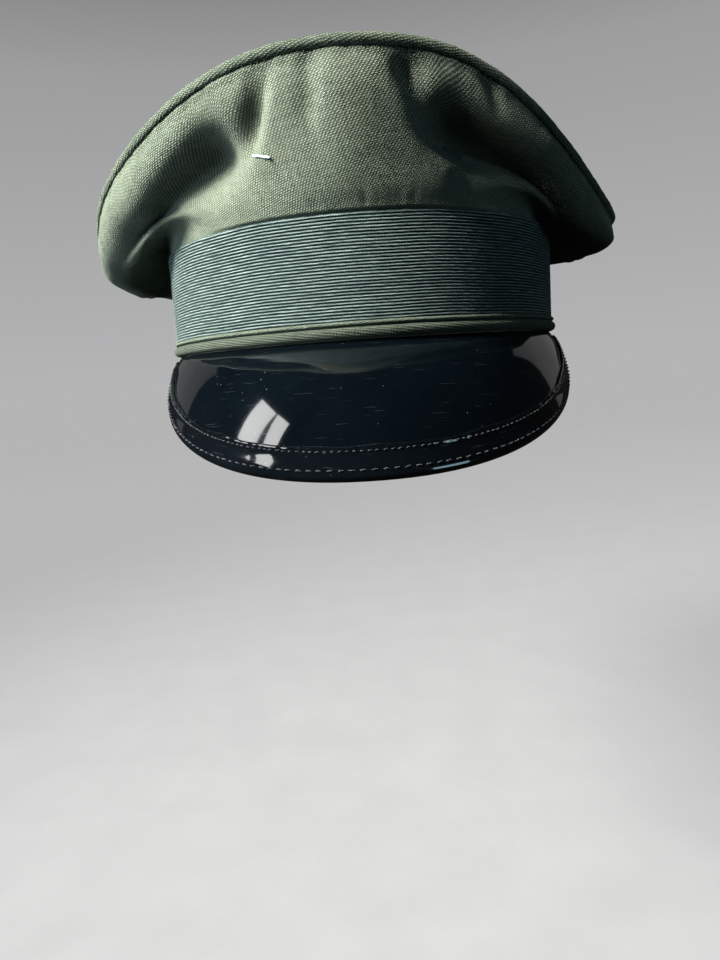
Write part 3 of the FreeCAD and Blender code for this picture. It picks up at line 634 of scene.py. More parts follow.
def braid_cloth():
    """Mohair braid: dense bluish green ribs of fine upright threads, with painted highlights on the rib tops
    and painted shade, near black, in the grooves between.
    """
    shader = Shader("ribbed_mohair", Sheen_Weight=0.08, Sheen_Roughness=0.35,
                    Sheen_Tint=(0.75, 0.82, 0.80, 1.0), Specular_IOR_Level=0.18)
    # The mesh's shade value paints light into the colour: painted highlight on the rib tops, painted shade in
    # the grooves
    rib = shader.node("Attribute", output=2, attribute_name="shade")
    threads = shader.bands(shader.lengths(), 0.00052, "X", 2.5)
    runs = shader.noise(shader.space((0.15, 0.15, 1.0)), 0.0011, 3.0, 0.7)
    wear = shader.noise(shader.space(), 0.018, 4.0, 0.6)
    level = shader.math("MULTIPLY_ADD", threads, 0.16, shader.math("MULTIPLY", rib, 0.84))
    level = shader.math("MULTIPLY", level, shader.ramp(runs, [(0.25, 0.72), (0.75, 1.15)]))
    # Near black is painted shade in the grooves; the pale green at the top is the painted highlight on the
    # ribs
    base = shader.ramp(level, [(0.12, (0.002, 0.004, 0.004)), (0.6, (0.031, 0.048, 0.045)),
                               (0.97, (0.165, 0.205, 0.187))])
    shader.colour(shader.blend(shader.ramp(wear, [(0.55, 0.0), (0.8, 0.16)]), base, (0.13, 0.17, 0.14)))
    shader.roughness(runs, (0.3, 0.55), (0.8, 0.75))
    shader.bump(threads, 0.00010, 0.8)
    return shader.material


def patent_leather(name, tone, dust_share=1.0):
    """Varnished leather: deep gloss, hairline scratches, and specks of dust."""
    shader = Shader(name, Coat_Weight=1.0, Coat_Roughness=0.035, Coat_IOR=1.5, Specular_IOR_Level=0.5)
    hairs = []
    for turn, width in ((24.0, 0.0011), (-38.0, 0.0014), (71.0, 0.0012)):
        streak = shader.noise(shader.lengths(turn, (0.02, 1.0, 1.0)), width * 0.35, 2.0, 0.75)
        hairs.append(shader.ramp(streak, [(0.70, 0.0), (0.74, 1.0)]))
    scratches = shader.math("MAXIMUM", shader.math("MAXIMUM", hairs[0], hairs[1]), hairs[2])
    cells = shader.node("TexVoronoi", {"Vector": shader.lengths(), "Scale": 330.0, "Randomness": 1.0})
    specks = shader.ramp(cells, [(0.035, 1.0), (0.07, 0.0)])
    patches = shader.ramp(shader.noise(shader.space(), 0.016, 3.0), [(0.50, 0.0), (0.64, dust_share)])
    dust = shader.math("MULTIPLY", specks, patches)
    haze = shader.noise(shader.space(), 0.03, 5.0, 0.6)
    base = shader.blend(shader.ramp(haze, [(0.35, 0.0), (0.8, 0.5)]), tone, tuple(2.4 * c for c in tone))
    base = shader.blend(shader.math("MULTIPLY", scratches, 0.045), base, (0.30, 0.31, 0.32))
    shader.colour(shader.blend(shader.math("MULTIPLY", dust, 0.55), base, (0.42, 0.42, 0.40)))
    rough = shader.ramp(haze, [(0.3, 0.06), (0.8, 0.13)])
    shader.roughness(shader.math("MULTIPLY_ADD", scratches, 0.25, rough))
    ripples = shader.bump(shader.noise(shader.space(), 0.007, 2.0), 0.00002, 0.5)
    shader.bump(dust, 0.00004, 0.6, ripples)
    return shader.material


def grained_leather(name, dark, light, grain=0.0011):
    """Leather with pebbled grain, pores and rubbed patches."""
    shader = Shader(name, Coat_Weight=0.08, Coat_Roughness=0.35, Specular_IOR_Level=0.45)
    places = shader.lengths()
    pebbles = shader.node("TexVoronoi", {"Vector": places, "Scale": 1.0 / grain}, feature="SMOOTH_F1")
    pores = shader.node("TexVoronoi", {"Vector": places, "Scale": 0.7 / grain})
    pits = shader.ramp(pores, [(0.05, 0.0), (0.16, 1.0)])
    rub = shader.noise(shader.space(), 0.02, 5.0, 0.62)
    level = shader.math("MULTIPLY_ADD", pebbles, -0.5, shader.math("ADD", rub, 0.22))
    base = shader.ramp(level, [(0.2, dark), (0.75, light)])
    shader.colour(shader.blend(shader.math("SUBTRACT", 1.0, pits), base, tuple(0.5 * c for c in dark)))
    shader.roughness(rub, (0.3, 0.42), (0.7, 0.62))
    shader.bump(pits, 0.00006, 0.5, shader.bump(pebbles, -0.00010, 0.8))
    return shader.material


def pressed_board():
    """Fibre board: flecked, matt, with a faint laid texture."""
    shader = Shader("pressed_board", Specular_IOR_Level=0.3)
    fibres = shader.noise(shader.space((1.0, 1.0, 0.12)), 0.0009, 4.0, 0.8)
    patches = shader.noise(shader.space(), 0.015, 3.0)
    tones = [(0.3, (0.17, 0.125, 0.085)), (0.7, (0.36, 0.29, 0.21))]
    rough = (fibres, (0.3, 0.8), (0.8, 0.95))
    return shader.stained(fibres, patches, tones, (0.22, 0.19, 0.16), 0.5, rough, 0.00012, 0.7)


def open_foam():
    """Foam with open cells, yellowed in patches."""
    shader = Shader("open_foam", Subsurface_Weight=0.05)
    cells = shader.node("TexVoronoi", {"Vector": shader.space(), "Scale": 1500.0})
    stain = shader.noise(shader.space(), 0.012, 3.0)
    tones = [(0.1, (0.25, 0.22, 0.14)), (0.5, (0.62, 0.57, 0.40))]
    rough = (stain, (0.3, 0.85), (0.7, 0.95))
    return shader.stained(cells, stain, tones, (0.48, 0.40, 0.24), 0.4, rough, 0.0003, 0.8)


def satin(name, dark, light):
    """Twill lining with a soft shine along its floats."""
    shader = Shader(name, Sheen_Weight=0.3, Sheen_Roughness=0.25, Anisotropic=0.5, Specular_IOR_Level=0.6)
    twill = shader.bands(shader.lengths(52.0), 0.00046, "X", 0.6)
    folds = shader.noise(shader.space(), 0.012, 4.0, 0.5)
    rough = [(0.3, 0.33), (0.7, 0.48)]
    return shader.layered(twill, folds, (0.35, 0.9), (0.3, dark), (0.85, light), rough, 0.00005, 0.6)


def canvas(name, dark, light):
    """Padded interlining: a coarse, uneven, unbleached weave."""
    shader = Shader(name, Sheen_Weight=0.15)
    weave = woven(shader, 0.0018, 0.0)
    blotch = shader.noise(shader.space(), 0.01, 4.0, 0.65)
    rough = [(0.3, 0.85), (0.7, 0.96)]
    return shader.layered(weave, blotch, (0.5, 0.6), (0.25, dark), (0.85, light), rough, 0.0003, 0.9)


def twisted(name, dark, light, pitch, gloss=0.6):
    """Thread or cord laid up from plies: slanting ridges and stray fibres."""
    shader = Shader(name, Sheen_Weight=0.2, Sheen_Roughness=0.4)
    plies = shader.bands(shader.space((1.0, 1.0, 1.4)), pitch, "DIAGONAL", 0.8)
    fibres = shader.noise(shader.space(), 0.4 * pitch, 3.0, 0.7)
    rough = [(0.3, gloss - 0.1), (0.7, gloss + 0.15)]
    return shader.layered(plies, fibres, (0.6, 0.5), (0.2, dark), (0.85, light), rough, 0.15 * pitch, 0.8)


def drawn_metal(name, dark, light):
    """Drawn wire or rolled strip: fine lines, with tarnish in patches."""
    shader = Shader(name, Metallic=1.0, Anisotropic=0.4)
    lines = shader.noise(shader.space((0.1, 0.1, 1.0)), 0.0004, 3.0, 0.7)
    tarnish = shader.noise(shader.space(), 0.008, 5.0, 0.65)
    rough = [(0.3, 0.22), (0.8, 0.42)]
    return shader.scuffed(lines, tarnish, [(0.35, light), (0.75, dark)], rough, 0.1, 0.00003)


def moulded(name, dark, light, rough=(0.3, 0.45), **constants):
    """Moulded plastic: faint flow marks and fine scuffs."""
    shader = Shader(name, **constants)
    flow = shader.noise(shader.space((1.0, 1.0, 0.3)), 0.004, 4.0, 0.6)
    scuffs = shader.noise(shader.space((0.2, 1.0, 1.0)), 0.0003, 2.0, 0.8)
    rough = [(0.3, rough[0]), (0.7, rough[1])]
    return shader.scuffed(scuffs, flow, [(0.35, dark), (0.7, light)], rough, 0.12, 0.00002)


DARK_OLIVE = (0.026, 0.034, 0.026)
LIGHT_OLIVE = (0.176, 0.194, 0.149)
PANEL_CLOTH = cap_cloth("olive_hopsack", -12.0, DARK_OLIVE, LIGHT_OLIVE)
BIAS_CLOTH = cap_cloth("olive_hopsack_bias", 25.0, (0.012, 0.017, 0.013), (0.140, 0.160, 0.122))
WELT_CLOTH = cap_cloth("olive_welt_rep", 55.0, (0.009, 0.012, 0.010), (0.100, 0.114, 0.086), 0.00105, 0.00040)
BRAID = braid_cloth()
PATENT = patent_leather("black_patent", (0.0006, 0.0012, 0.0018))
PATENT_BINDING = patent_leather("black_patent_binding", (0.0009, 0.0014, 0.0020), 0.9)
UNDERSIDE = grained_leather("dark_green_underside", (0.010, 0.017, 0.012), (0.034, 0.050, 0.038))
SWEAT_LEATHER = grained_leather("tan_sweatband", (0.20, 0.105, 0.052), (0.43, 0.27, 0.155), 0.0014)
BOARD = pressed_board()
LINING = satin("green_black_satin", (0.006, 0.012, 0.010), (0.035, 0.055, 0.045))
CANVAS = canvas("interlining_canvas", (0.30, 0.26, 0.19), (0.66, 0.60, 0.48))
FOAM = open_foam()
CORD = twisted("cotton_cord", (0.38, 0.35, 0.27), (0.72, 0.69, 0.58), 0.0012, 0.85)
TAN_THREAD = twisted("tan_thread", (0.30, 0.21, 0.11), (0.62, 0.48, 0.30), 0.0005)
BLACK_THREAD = twisted("black_thread", (0.005, 0.006, 0.007), (0.036, 0.040, 0.043), 0.0005, 0.45)
OLIVE_THREAD = twisted("olive_thread", (0.012, 0.018, 0.012), (0.07, 0.085, 0.06), 0.0005)
SPRING = drawn_metal("spring_steel", (0.20, 0.20, 0.21), (0.55, 0.56, 0.58))
BRASS = drawn_metal("brass_ferrule", (0.34, 0.22, 0.09), (0.75, 0.56, 0.26))
REED = moulded("reed_plastic", (0.50, 0.48, 0.42), (0.66, 0.64, 0.57))
BARB = moulded("pale_nylon", (0.62, 0.66, 0.62), (0.85, 0.88, 0.84), (0.12, 0.22), Subsurface_Weight=0.2)
FILM = moulded("clear_film", (0.80, 0.84, 0.82), (0.92, 0.95, 0.94), (0.05, 0.12),
               Transmission_Weight=0.94, IOR=1.46)


# ---- Crown -----------------------------------------------------------------------------------
def wall_panel(name, node, first, last):
    """One sewn panel of the crown's wall."""
    columns = wall_columns(first, last)
    outer = WALL[columns]
    inner = outer - WALL_NORMALS[columns] * CLOTH_THICKNESS
    Skin().slab(outer, inner).build(name, PANEL_CLOTH, "crown_cloth", [node])


def interlining():
    columns = wall_columns(-INTERLINING_HALF_ANGLE, INTERLINING_HALF_ANGLE)[::2]
    rows = slice(8, 90, 2)
    outer = WALL[columns, rows] - WALL_NORMALS[columns, rows] * (CLOTH_THICKNESS + 0.5)
    inner = outer - WALL_NORMALS[columns, rows] * 1.2
    Skin().slab(outer, inner).build("interlining_canvas_layer", CANVAS, "canvas", ["crown_interlining"])


def front_stay():
    """The spring strip up the middle of the front, following the cloth it holds up."""
    depth = CLOTH_THICKNESS + 2.0
    half_width = 6.0
    angles = np.linspace(-3.5, 3.5, 9)
    columns = np.round((angles + 180.0) / WALL_STEP).astype(int)
    upper = WALL[columns, 8:84:3] - WALL_NORMALS[columns, 8:84:3] * depth
    foot_z = np.linspace(30.0, 42.0, 7)
    foot = band_spot(angles[:, None], -SLOT_INSET - 0.6, foot_z)
    front = np.concatenate([foot, upper], axis=1)
    front[..., 0] = np.linspace(-half_width, half_width, len(angles))[:, None]
    back = front - normals_of(front, False) * 0.6
    Skin().slab(front, back).build("front_stay_spring", SPRING, "spring_wire", ["front_stay"])


def disc_grid(count, reach):
    """Places over an oval, in even cells: parts of the way out to the rim, angles, x and y."""
    line = np.sin(np.linspace(-0.5, 0.5, count) * math.pi)
    x, y = np.meshgrid(line, line, indexing="ij")
    flat_x = x * np.sqrt(1.0 - 0.5 * y * y)
    flat_y = y * np.sqrt(1.0 - 0.5 * x * x)
    part = np.hypot(flat_x, flat_y) * reach
    angle = np.degrees(np.arctan2(flat_x, -flat_y))
    x = part * np.sin(np.radians(angle)) * RIM_HALF_WIDTH
    y = part * np.cos(np.radians(angle)) * RIM_HALF_LENGTH
    return part, angle, x, y


def disc(names, material, part, angle, lift, thickness, uv_lean=0.0):
    """A sheet shaped like the crown's top, at a lift above it; names are the piece, slot and node, and the
    slot is not used.
    """
    outer = RIM_CENTRE + oval(RIM_HALF_WIDTH, RIM_HALF_LENGTH, angle) * part[..., None]
    outer[..., 2] = mix(TOP_CENTRE_Z, rim_z(angle), part ** TOP_FALLOFF) + lift
    inner = outer - UP * np.broadcast_to(thickness, part.shape)[..., None]
    uv = outer[..., :2] + uv_lean * outer[..., 2:]
    piece, slot, node = names
    Skin().slab(outer, inner, uv=uv).build(piece, material, slot, [node])


def top_panel():
    """The crown's top, stretched over the hoop, with slack in its middle and drag at its edge."""
    part, angle, x, y = disc_grid(151, TOP_REACH)
    slack = 0.55 * ripple(x + 0.4 * y, (61.0, 88.0, 47.0), 11) + 0.5 * ripple(y - 0.3 * x, (73.0, 55.0), 12)
    slack = slack * (1.0 - part ** 4) - 1.3 * (part * (1.0 - part) * 4.0) ** 2
    drag = 0.32 * smooth_step(0.72, 0.97, part) * ripple(angle * 2.1, (7.0, 11.5, 16.0), 13)
    ring = 0.9 * bell(part, 0.925, 0.02) - 1.9 * smooth_step(0.950, 0.985, part)
    disc(("crown_top_cloth", "crown_cloth", "crown_top_panel"), PANEL_CLOTH, part, angle,
         2.45 + slack + drag + ring, CLOTH_THICKNESS, 0.2)


def rim_frames(angles):
    """Middle of the rim's roll, and its outward and upward directions."""
    out = unit(rim_plan(angles) - oval(BAND_HALF_WIDTH, BAND_HALF_LENGTH, angles))
    middle = rim_plan(angles)
    middle[:, 2] = rim_z(angles)
    ahead = unit(np.roll(middle, -1, axis=0) - np.roll(middle, 1, axis=0))
    up = unit(np.cross(out, ahead))
    up = up * np.sign(up[:, 2:])
    return middle, out, up


def crown_welt():
    """The bias strip round the rim: a round roll with slanting tension wrinkles and a flange."""
    angles = all_round(0.5)
    middle, out, up = rim_frames(angles)
    turn = np.linspace(-math.pi, math.pi, 26, endpoint=False)
    along = (angles * RIM_ARC)[:, None]
    wrinkle = 0.07 * ripple(along + 2.2 * turn, (3.4, 5.1, 8.3), 21) + 0.07 * ripple(along, (19.0, 31.0), 22)
    radius = 1.95 + wrinkle
    flange = bell(turn, -math.pi, 0.30) + bell(turn, math.pi, 0.30)
    radius = radius * (1.0 + 1.3 * flange)
    pinch = 1.0 - 0.45 * np.clip(flange, 0.0, 1.0)
    spokes = out[:, None] * np.cos(turn)[:, None] + up[:, None] * (np.sin(turn) * pinch)[:, None]
    sections = middle[:, None] + 0.45 * out[:, None] + 0.3 * up[:, None] + spokes * radius[..., None]
    Skin().tube(sections, True).build("crown_welt_roll", BIAS_CLOTH, "crown_cloth", ["crown_welt"])


def crown_seam_threads():
    """The short threads that bridge the crease between the wall and the roll above it."""
    skin = Skin()
    for angle in all_round(1.05):
        at = np.array([angle + CHANCE.normal(0.0, 0.06)])
        width = rim_width(at)
        rim = rim_z(at)
        lean = CHANCE.normal(0.12, 0.05)
        low = place(at, width + 0.45, rim - 2.7)[0]
        high = place(at + lean, width + 1.0, rim - 1.2)[0]
        outward = unit(place(at, width + 9.0, rim) - place(at, width, rim))[0]
        path = np.stack([low, mix(low, high, 0.5), high])
        centre = path + outward * np.array([-0.25, 0.12, -0.15])[:, None]
        ahead = unit(high - low)
        side = unit(np.cross(ahead, outward))
        skin.tube(rounds(centre, side[None], outward[None], 0.14, 6))
    skin.build("crown_seam_threads", OLIVE_THREAD, "crown_cloth")


def lining_wall():
    """The lining's side, gathered at its top and hanging slack behind the sweatband."""
    angles = all_round(0.75)
    steps = np.linspace(0.0, 1.0, 36)
    spoke = oval(RIM_HALF_WIDTH, RIM_HALF_LENGTH, angles)
    edge = RIM_CENTRE + spoke * LINING_REACH
    edge[:, 2] = mix(TOP_CENTRE_Z, rim_z(angles), LINING_REACH ** TOP_FALLOFF) - 3.0
    foot = -SWEATBAND_INSET + 0.2
    low = place(angles, foot, LINING_FOOT_Z)
    mid = place(angles, foot, LINING_NECK_Z)
    neck = place(angles, foot, mix(LINING_NECK_Z, edge[:, 2], 0.75))
    rows = spline_rows(np.stack([low, mid, neck, edge], 1), steps)
    along = (angles * LINING_ARC)[:, None]
    gather = ripple(along + 5.0 * steps, (5.2, 7.7, 12.0), 31) * smooth_step(0.35, 0.95, steps)
    hang = ripple(along - 9.0 * steps, (24.0, 41.0), 32) * np.sin(math.pi * steps)
    normals = normals_of(rows, True)
    slack = (0.8 + 0.45 * gather + 0.6 * hang)[..., None] * np.sin(math.pi * steps)[:, None] ** 0.4
    outer = rows - normals * slack
    inner = outer - normals * LINING_THICKNESS
    Skin().slab(outer, inner, True).build("lining_side", LINING, "lining", ["crown_lining_wall"])


def lining_top():
    """The lining's top, puckered along its seam."""
    part, angle, x, _ = disc_grid(91, LINING_REACH - 0.005)
    puckers = 0.35 * smooth_step(0.6, 0.8, part) * ripple(angle * 1.7, (5.5, 8.0, 13.0), 41)
    sag = 0.5 * ripple(x, (38.0, 57.0), 42) * (1.0 - part)
    disc(("lining_crown", "lining", "crown_lining_top"), LINING, part, angle,
         -2.55 + puckers + sag, LINING_THICKNESS)


def sweat_shield():
    """The clear oval sheet under the lining, a little buckled, with a welded edge."""
    part, angle, x, y = disc_grid(81, SHIELD_REACH)
    buckle = 0.35 * ripple(x + y, (29.0, 44.0), 51) - 0.5
    weld = 0.25 * bell(part, SHIELD_REACH - 0.015, 0.008)
    disc(("clear_sweat_shield", "clear_film", "sweat_shield"), FILM, part, angle,
         -3.05 + buckle + weld, 0.3 + weld)


# ---- Band ------------------------------------------------------------------------------------
RIB_COUNT = 33
RIB_SAMPLES = 5
RIB_DEPTH = 0.62
BRAID_LAP = 2.4                 # degrees by which the braid's two ends overlap at the back


def ribbed_braid():
    """The braid, with its raised ribs and one end lapped over the other at the back."""
    angles = np.linspace(-180.0 - BRAID_LAP, 180.0, 301)
    rib = np.linspace(0.0, RIB_COUNT, RIB_COUNT * RIB_SAMPLES + 1)
    ridge = np.abs(np.sin(math.pi * rib)) ** 0.7
    ridge[[0, -1]] = 0.55
    z = mix(BRAID_BOTTOM, BRAID_TOP, rib / RIB_COUNT)
    along = angles * BAND_ARC
    lap = 1.0 - smooth_step(-180.0 + 0.2, -180.0 + 2.0, angles)
    sway = 0.10 * ripple(along, (37.0, 61.0, 95.0), 61)
    fray = 0.05 * ripple(along[:, None] + 11.0 * np.floor(rib + 0.5), (4.2, 6.9, 15.0), 62)
    out = RIB_DEPTH * (ridge - 1.0) + 1.15 * lap[:, None] + 0.6 * fray
    out[:2] -= 0.35
    face = band_spot(angles[:, None], out, z + sway[:, None] + fray)
    # Painted light: the shade value is high on the rib tops for a painted highlight and low in the grooves
    # for painted shade
    shade = np.broadcast_to(ridge ** 2.2, face.shape[:2])
    back_out = (-BRAID_THICKNESS + 1.15 * lap)[:, None]
    back = band_spot(angles[:, None], back_out, z[[-1, 0]] + sway[:, None])
    sections = np.concatenate([face, back], axis=1)
    # The back and the ends get a middling painted shade value
    shade = np.concatenate([shade, np.full((len(angles), 2), 0.2)], axis=1)
    Skin().tube(sections, shade=shade).build("mohair_braid", BRAID, "braid", ["ribbed_braid"], sharp=70.0)
    join = Skin()
    edge_z = np.linspace(BRAID_BOTTOM + 1.2, BRAID_TOP - 1.2, 60)
    edge = band_spot(np.full(60, -180.0 - BRAID_LAP + 0.9), 0.85, edge_z)
    stitch_row(join, edge, (0.0, 1.0, 0.0), 2.3, 0.16, 0.6, 0.4, 0.15)
    join.build("braid_join_stitches", OLIVE_THREAD, "braid")


def bead(piece, node, material, step, heights, proud, relief):
    """A half-round roll standing out from the band's cloth, with a relief on its face."""
    angles = all_round(step)
    turn = np.linspace(-0.5 * math.pi, 0.5 * math.pi, 15)
    low, high = heights
    base = -BRAID_THICKNESS
    out = base + (proud - base) * np.cos(turn) ** 0.8
    z = 0.5 * (low + high) + 0.5 * (high - low) * np.sin(turn)
    out = np.concatenate([out, [base - 0.05, base - 0.05]])
    z = np.concatenate([z, [high - 0.15, low + 0.15]])
    normal = unit(band_spot(angles, 10.0, 0.0) - band_spot(angles, 0.0, 0.0))
    rise = relief((angles * BAND_ARC)[:, None], out, z)
    sections = band_spot(angles[:, None], out, z) + normal[:, None] * rise[..., None]
    Skin().tube(sections, True).build(piece, material, "crown_cloth", [node])


def uneven_relief(along, out, z):
    """The fat welt's soft lumps."""
    uneven = 0.06 * ripple(along + 3.0 * z, (4.7, 7.9, 22.0), 71) + 0.05 * ripple(along, (48.0, 77.0), 72)
    return uneven * (out > 0.0)


def twisted_relief(along, out, z):
    """The thin piping's twist, like the cord's inside it."""
    return 0.09 * np.sin(2.0 * math.pi * along / 2.1 + 2.4 * (z - 5.2)) * (out > -0.4)


def band_cloth():
    """The cloth under the braid, turned in under the stiffener along the bottom."""
    angles = all_round(1.0)
    outer_out = np.array([-1.2, -1.2, -1.2, -1.2, -1.25, -1.5, -2.2, -3.2, -4.2, -4.55])
    outer_z = np.array([41.7, 30.0, 15.0, 3.0, 1.0, 0.3, 0.05, 0.05, 0.1, 0.3])
    inner_out = np.array([-1.8, -1.8, -1.8, -1.8, -1.85, -2.0, -2.5, -3.2, -4.2, -4.5])
    inner_z = np.array([41.7, 30.0, 15.0, 3.2, 1.5, 0.9, 0.7, 0.65, 0.7, 0.7])
    uneven = 0.04 * ripple(angles * BAND_ARC, (9.0, 14.0, 30.0), 81)[:, None]
    outer = band_spot(angles[:, None], outer_out, outer_z + uneven)
    inner = band_spot(angles[:, None], inner_out, inner_z + uneven)
    Skin().slab(outer, inner, True).build("band_foundation", WELT_CLOTH, "crown_cloth", ["band_cloth"])


def sweatband():
    """The leather inside the band: rolled round its reed below, free and a little wavy above."""
    angles = all_round(0.75)
    roll = np.linspace(0.0, 1.5 * math.pi, 13)[::-1] - 0.5 * math.pi - 0.4
    out = [-SWEATBAND_INSET - 0.05, -SWEATBAND_INSET - 0.1]
    z = [SWEATBAND_TOP, 18.0]
    out += list(-REED_INSET + REED_ROLL * np.cos(roll))
    z += list(REED_ROLL * np.sin(roll))
    face_z = np.array([2.2, 4.2, 5.4, 8.0, 12.0, 18.0, 24.0, 30.0, 33.5, 35.2, 35.9])
    belly = 0.35 * np.sin(math.pi * face_z / SWEATBAND_TOP) - 0.22 * bell(face_z, 4.4, 0.7)
    out += list(-SWEATBAND_INSET - SWEATBAND_THICKNESS - belly)
    z += list(face_z)
    out = np.array(out)
    z = np.array(z)
    along = (angles * SWEATBAND_ARC)[:, None]
    free = smooth_step(8.0, SWEATBAND_TOP, z)
    wave = free * 0.35 * ripple(along, (46.0, 73.0, 29.0), 91)
    sections = band_spot(angles[:, None], out - np.abs(wave), z + 0.4 * free * wave)
    Skin().tube(sections, True).build("leather_sweatband", SWEAT_LEATHER, "sweatband_leather", ["sweatband"])
    lines = Skin()
    turn = np.linspace(-180.0, 180.0, 721)
    inward = -oval(1.0, 1.0, turn)
    lower = band_spot(turn, -SWEATBAND_INSET - SWEATBAND_THICKNESS - 0.05, 4.4)
    stitch_row(lines, lower, inward, 3.4, 0.24)
    lines.build("sweatband_seam_stitches", TAN_THREAD, "tan_thread", ["sweatband_stitches"])


def join_strip():
    """The leather strip behind the sweatband's seam at the back, with a zigzag of thread."""
    half = 3.9
    angles = 180.0 + np.linspace(-half, half, 25)
    z = np.linspace(5.2, 34.8, 40)
    bevel = np.clip((half - np.abs(angles - 180.0)) / 0.5, 0.0, 1.0)[:, None] ** 0.5
    ends = np.clip((14.8 - np.abs(z - 20.0)) / 0.8, 0.0, 1.0) ** 0.5
    thickness = 0.15 + 0.55 * bevel * ends
    base = -SWEATBAND_INSET - SWEATBAND_THICKNESS - 0.45
    outer = band_spot(angles[:, None], base - thickness, z)
    inner = band_spot(angles[:, None], base, z)
    Skin().slab(outer, inner).build(
        "sweatband_back_strip", SWEAT_LEATHER, "sweatband_leather", ["sweatband_join_strip"])
    count = 15
    corners_z = np.linspace(7.0, 33.0, count)
    corners_angle = 180.0 + 1.1 * np.where(np.arange(count) % 2 == 0, -1.0, 1.0)
    path = band_spot(corners_angle, base - 0.72, corners_z)
    zigzag = Skin()
    for start, end in zip(path[:-1], path[1:]):
        line = mix(start, end, np.linspace(0.0, 1.0, 9)[:, None])
        beyond = end[None] + (end - start)
        stitch_row(zigzag, np.concatenate([line, beyond]), (0.0, -1.0, 0.0), 2.6, 0.2, 0.8)
    zigzag.build("back_strip_stitches", TAN_THREAD, "tan_thread")


def forehead_pad():
    """The foam pad behind the sweatband over the forehead."""
    angles = np.linspace(-PAD_HALF_ANGLE, PAD_HALF_ANGLE, 121)
    z = np.linspace(PAD_BOTTOM, PAD_TOP, 34)
    half_height = 0.5 * (PAD_TOP - PAD_BOTTOM)
    ends = np.sqrt(np.clip((PAD_HALF_ANGLE - np.abs(angles)) / 3.0, 0.0, 1.0))[:, None]
    sides = np.sqrt(np.clip((half_height - np.abs(z - PAD_BOTTOM - half_height)) / 2.5, 0.0, 1.0))
    half = 0.12 + 0.56 * ends * sides
    middle = -0.5 * (SLOT_INSET + SWEATBAND_INSET)
    outer = band_spot(angles[:, None], middle + half, z)
    inner = band_spot(angles[:, None], middle - half, z)
    pad = Skin().slab(outer, inner).build("forehead_foam_pad", FOAM, "foam", ["forehead_pad"])


# ---- Peak ------------------------------------------------------------------------------------
ROOT_ANGLE = math.degrees(math.acos(-PEAK_CORNER_Y / BAND_HALF_LENGTH))


def peak_rows(angle):
    """Control points across the peak's upper face, from the band to the rim."""
    root = band_spot(angle * ROOT_ANGLE / 90.0, -1.4, -0.3)
    rim = oval(PEAK_HALF_WIDTH, PEAK_REACH, angle)
    rim[:, 1] += PEAK_CORNER_Y
    rim[:, 2] = mix(PEAK_CORNER_Z, PEAK_TIP_Z, 1.0 - (np.abs(angle) / 90.0) ** PEAK_SWEEP)
    run = rim - root
    first = root + run * np.array([0.45, 0.45, 0.22])
    second = root + run * np.array([0.80, 0.80, 0.62])
    return np.stack([root, first, second, rim], 1)


PEAK_ANGLES = np.linspace(90.0, -90.0, 321)
PEAK_STEPS = np.linspace(0.0, 1.0, 201)
PEAK_FACE = spline_rows(peak_rows(PEAK_ANGLES), PEAK_STEPS)
PEAK_NORMALS = normals_of(PEAK_FACE, False)
PEAK_NORMALS[:2] = PEAK_NORMALS[2]
PEAK_NORMALS[-2:] = PEAK_NORMALS[-3]
# Distance in from the rim, at each point of the face.
PEAK_INWARD = run_along(PEAK_FACE[:, ::-1], 1)[:, ::-1]


def peak_at(distance, lift):
    """Points a distance in from the rim and a lift off the face, for each station."""
    distance = np.broadcast_to(distance, (len(PEAK_ANGLES),))
    lift = np.broadcast_to(lift, (len(PEAK_ANGLES),))
    points = []
    for row, up, inward, far, high in zip(PEAK_FACE, PEAK_NORMALS, PEAK_INWARD, distance, lift):
        spot = along_line(far, inward[::-1], row[::-1])
        points.append(spot + along_line(far, inward[::-1], up[::-1]) * high)
    return np.array(points)


def peak_skins():
    """The glossy upper skin and the grained skin under the peak."""
    every = np.linspace(0, len(PEAK_STEPS) - 1, 67).astype(int)
    face = PEAK_FACE[:, every]
    up = PEAK_NORMALS[:, every]
    x = face[..., 0]
    y = face[..., 1]
    dents = 0.045 * ripple(x + 0.6 * y, (31.0, 44.0, 23.0), 101)
    dents = dents + 0.035 * ripple(y - 0.4 * x, (17.0, 27.0), 102)
    fade = smooth_step(0.0, 8.0, PEAK_INWARD[:, every])
    top = face + up * (dents * fade)[..., None]
    Skin().slab(top, face - up * TOP_SKIN).build(
        "patent_peak_skin", PATENT, "patent", ["peak_top_skin"], 75.0)
    depth = PEAK_THICKNESS - UNDER_SKIN
    under = face - up * (PEAK_THICKNESS - 0.5 * dents)[..., None]
    Skin().slab(face - up * depth, under).build(
        "grained_under_skin", UNDERSIDE, "peak_underside", ["peak_under_skin"], 75.0)


def binding_width():
    """The binding's width at each station: less where the peak itself is narrow."""
    reach = np.linalg.norm(PEAK_FACE[:, -1] - PEAK_FACE[:, 0], axis=-1)
    return BINDING_WIDTH * np.tanh(0.6 * reach / BINDING_WIDTH)


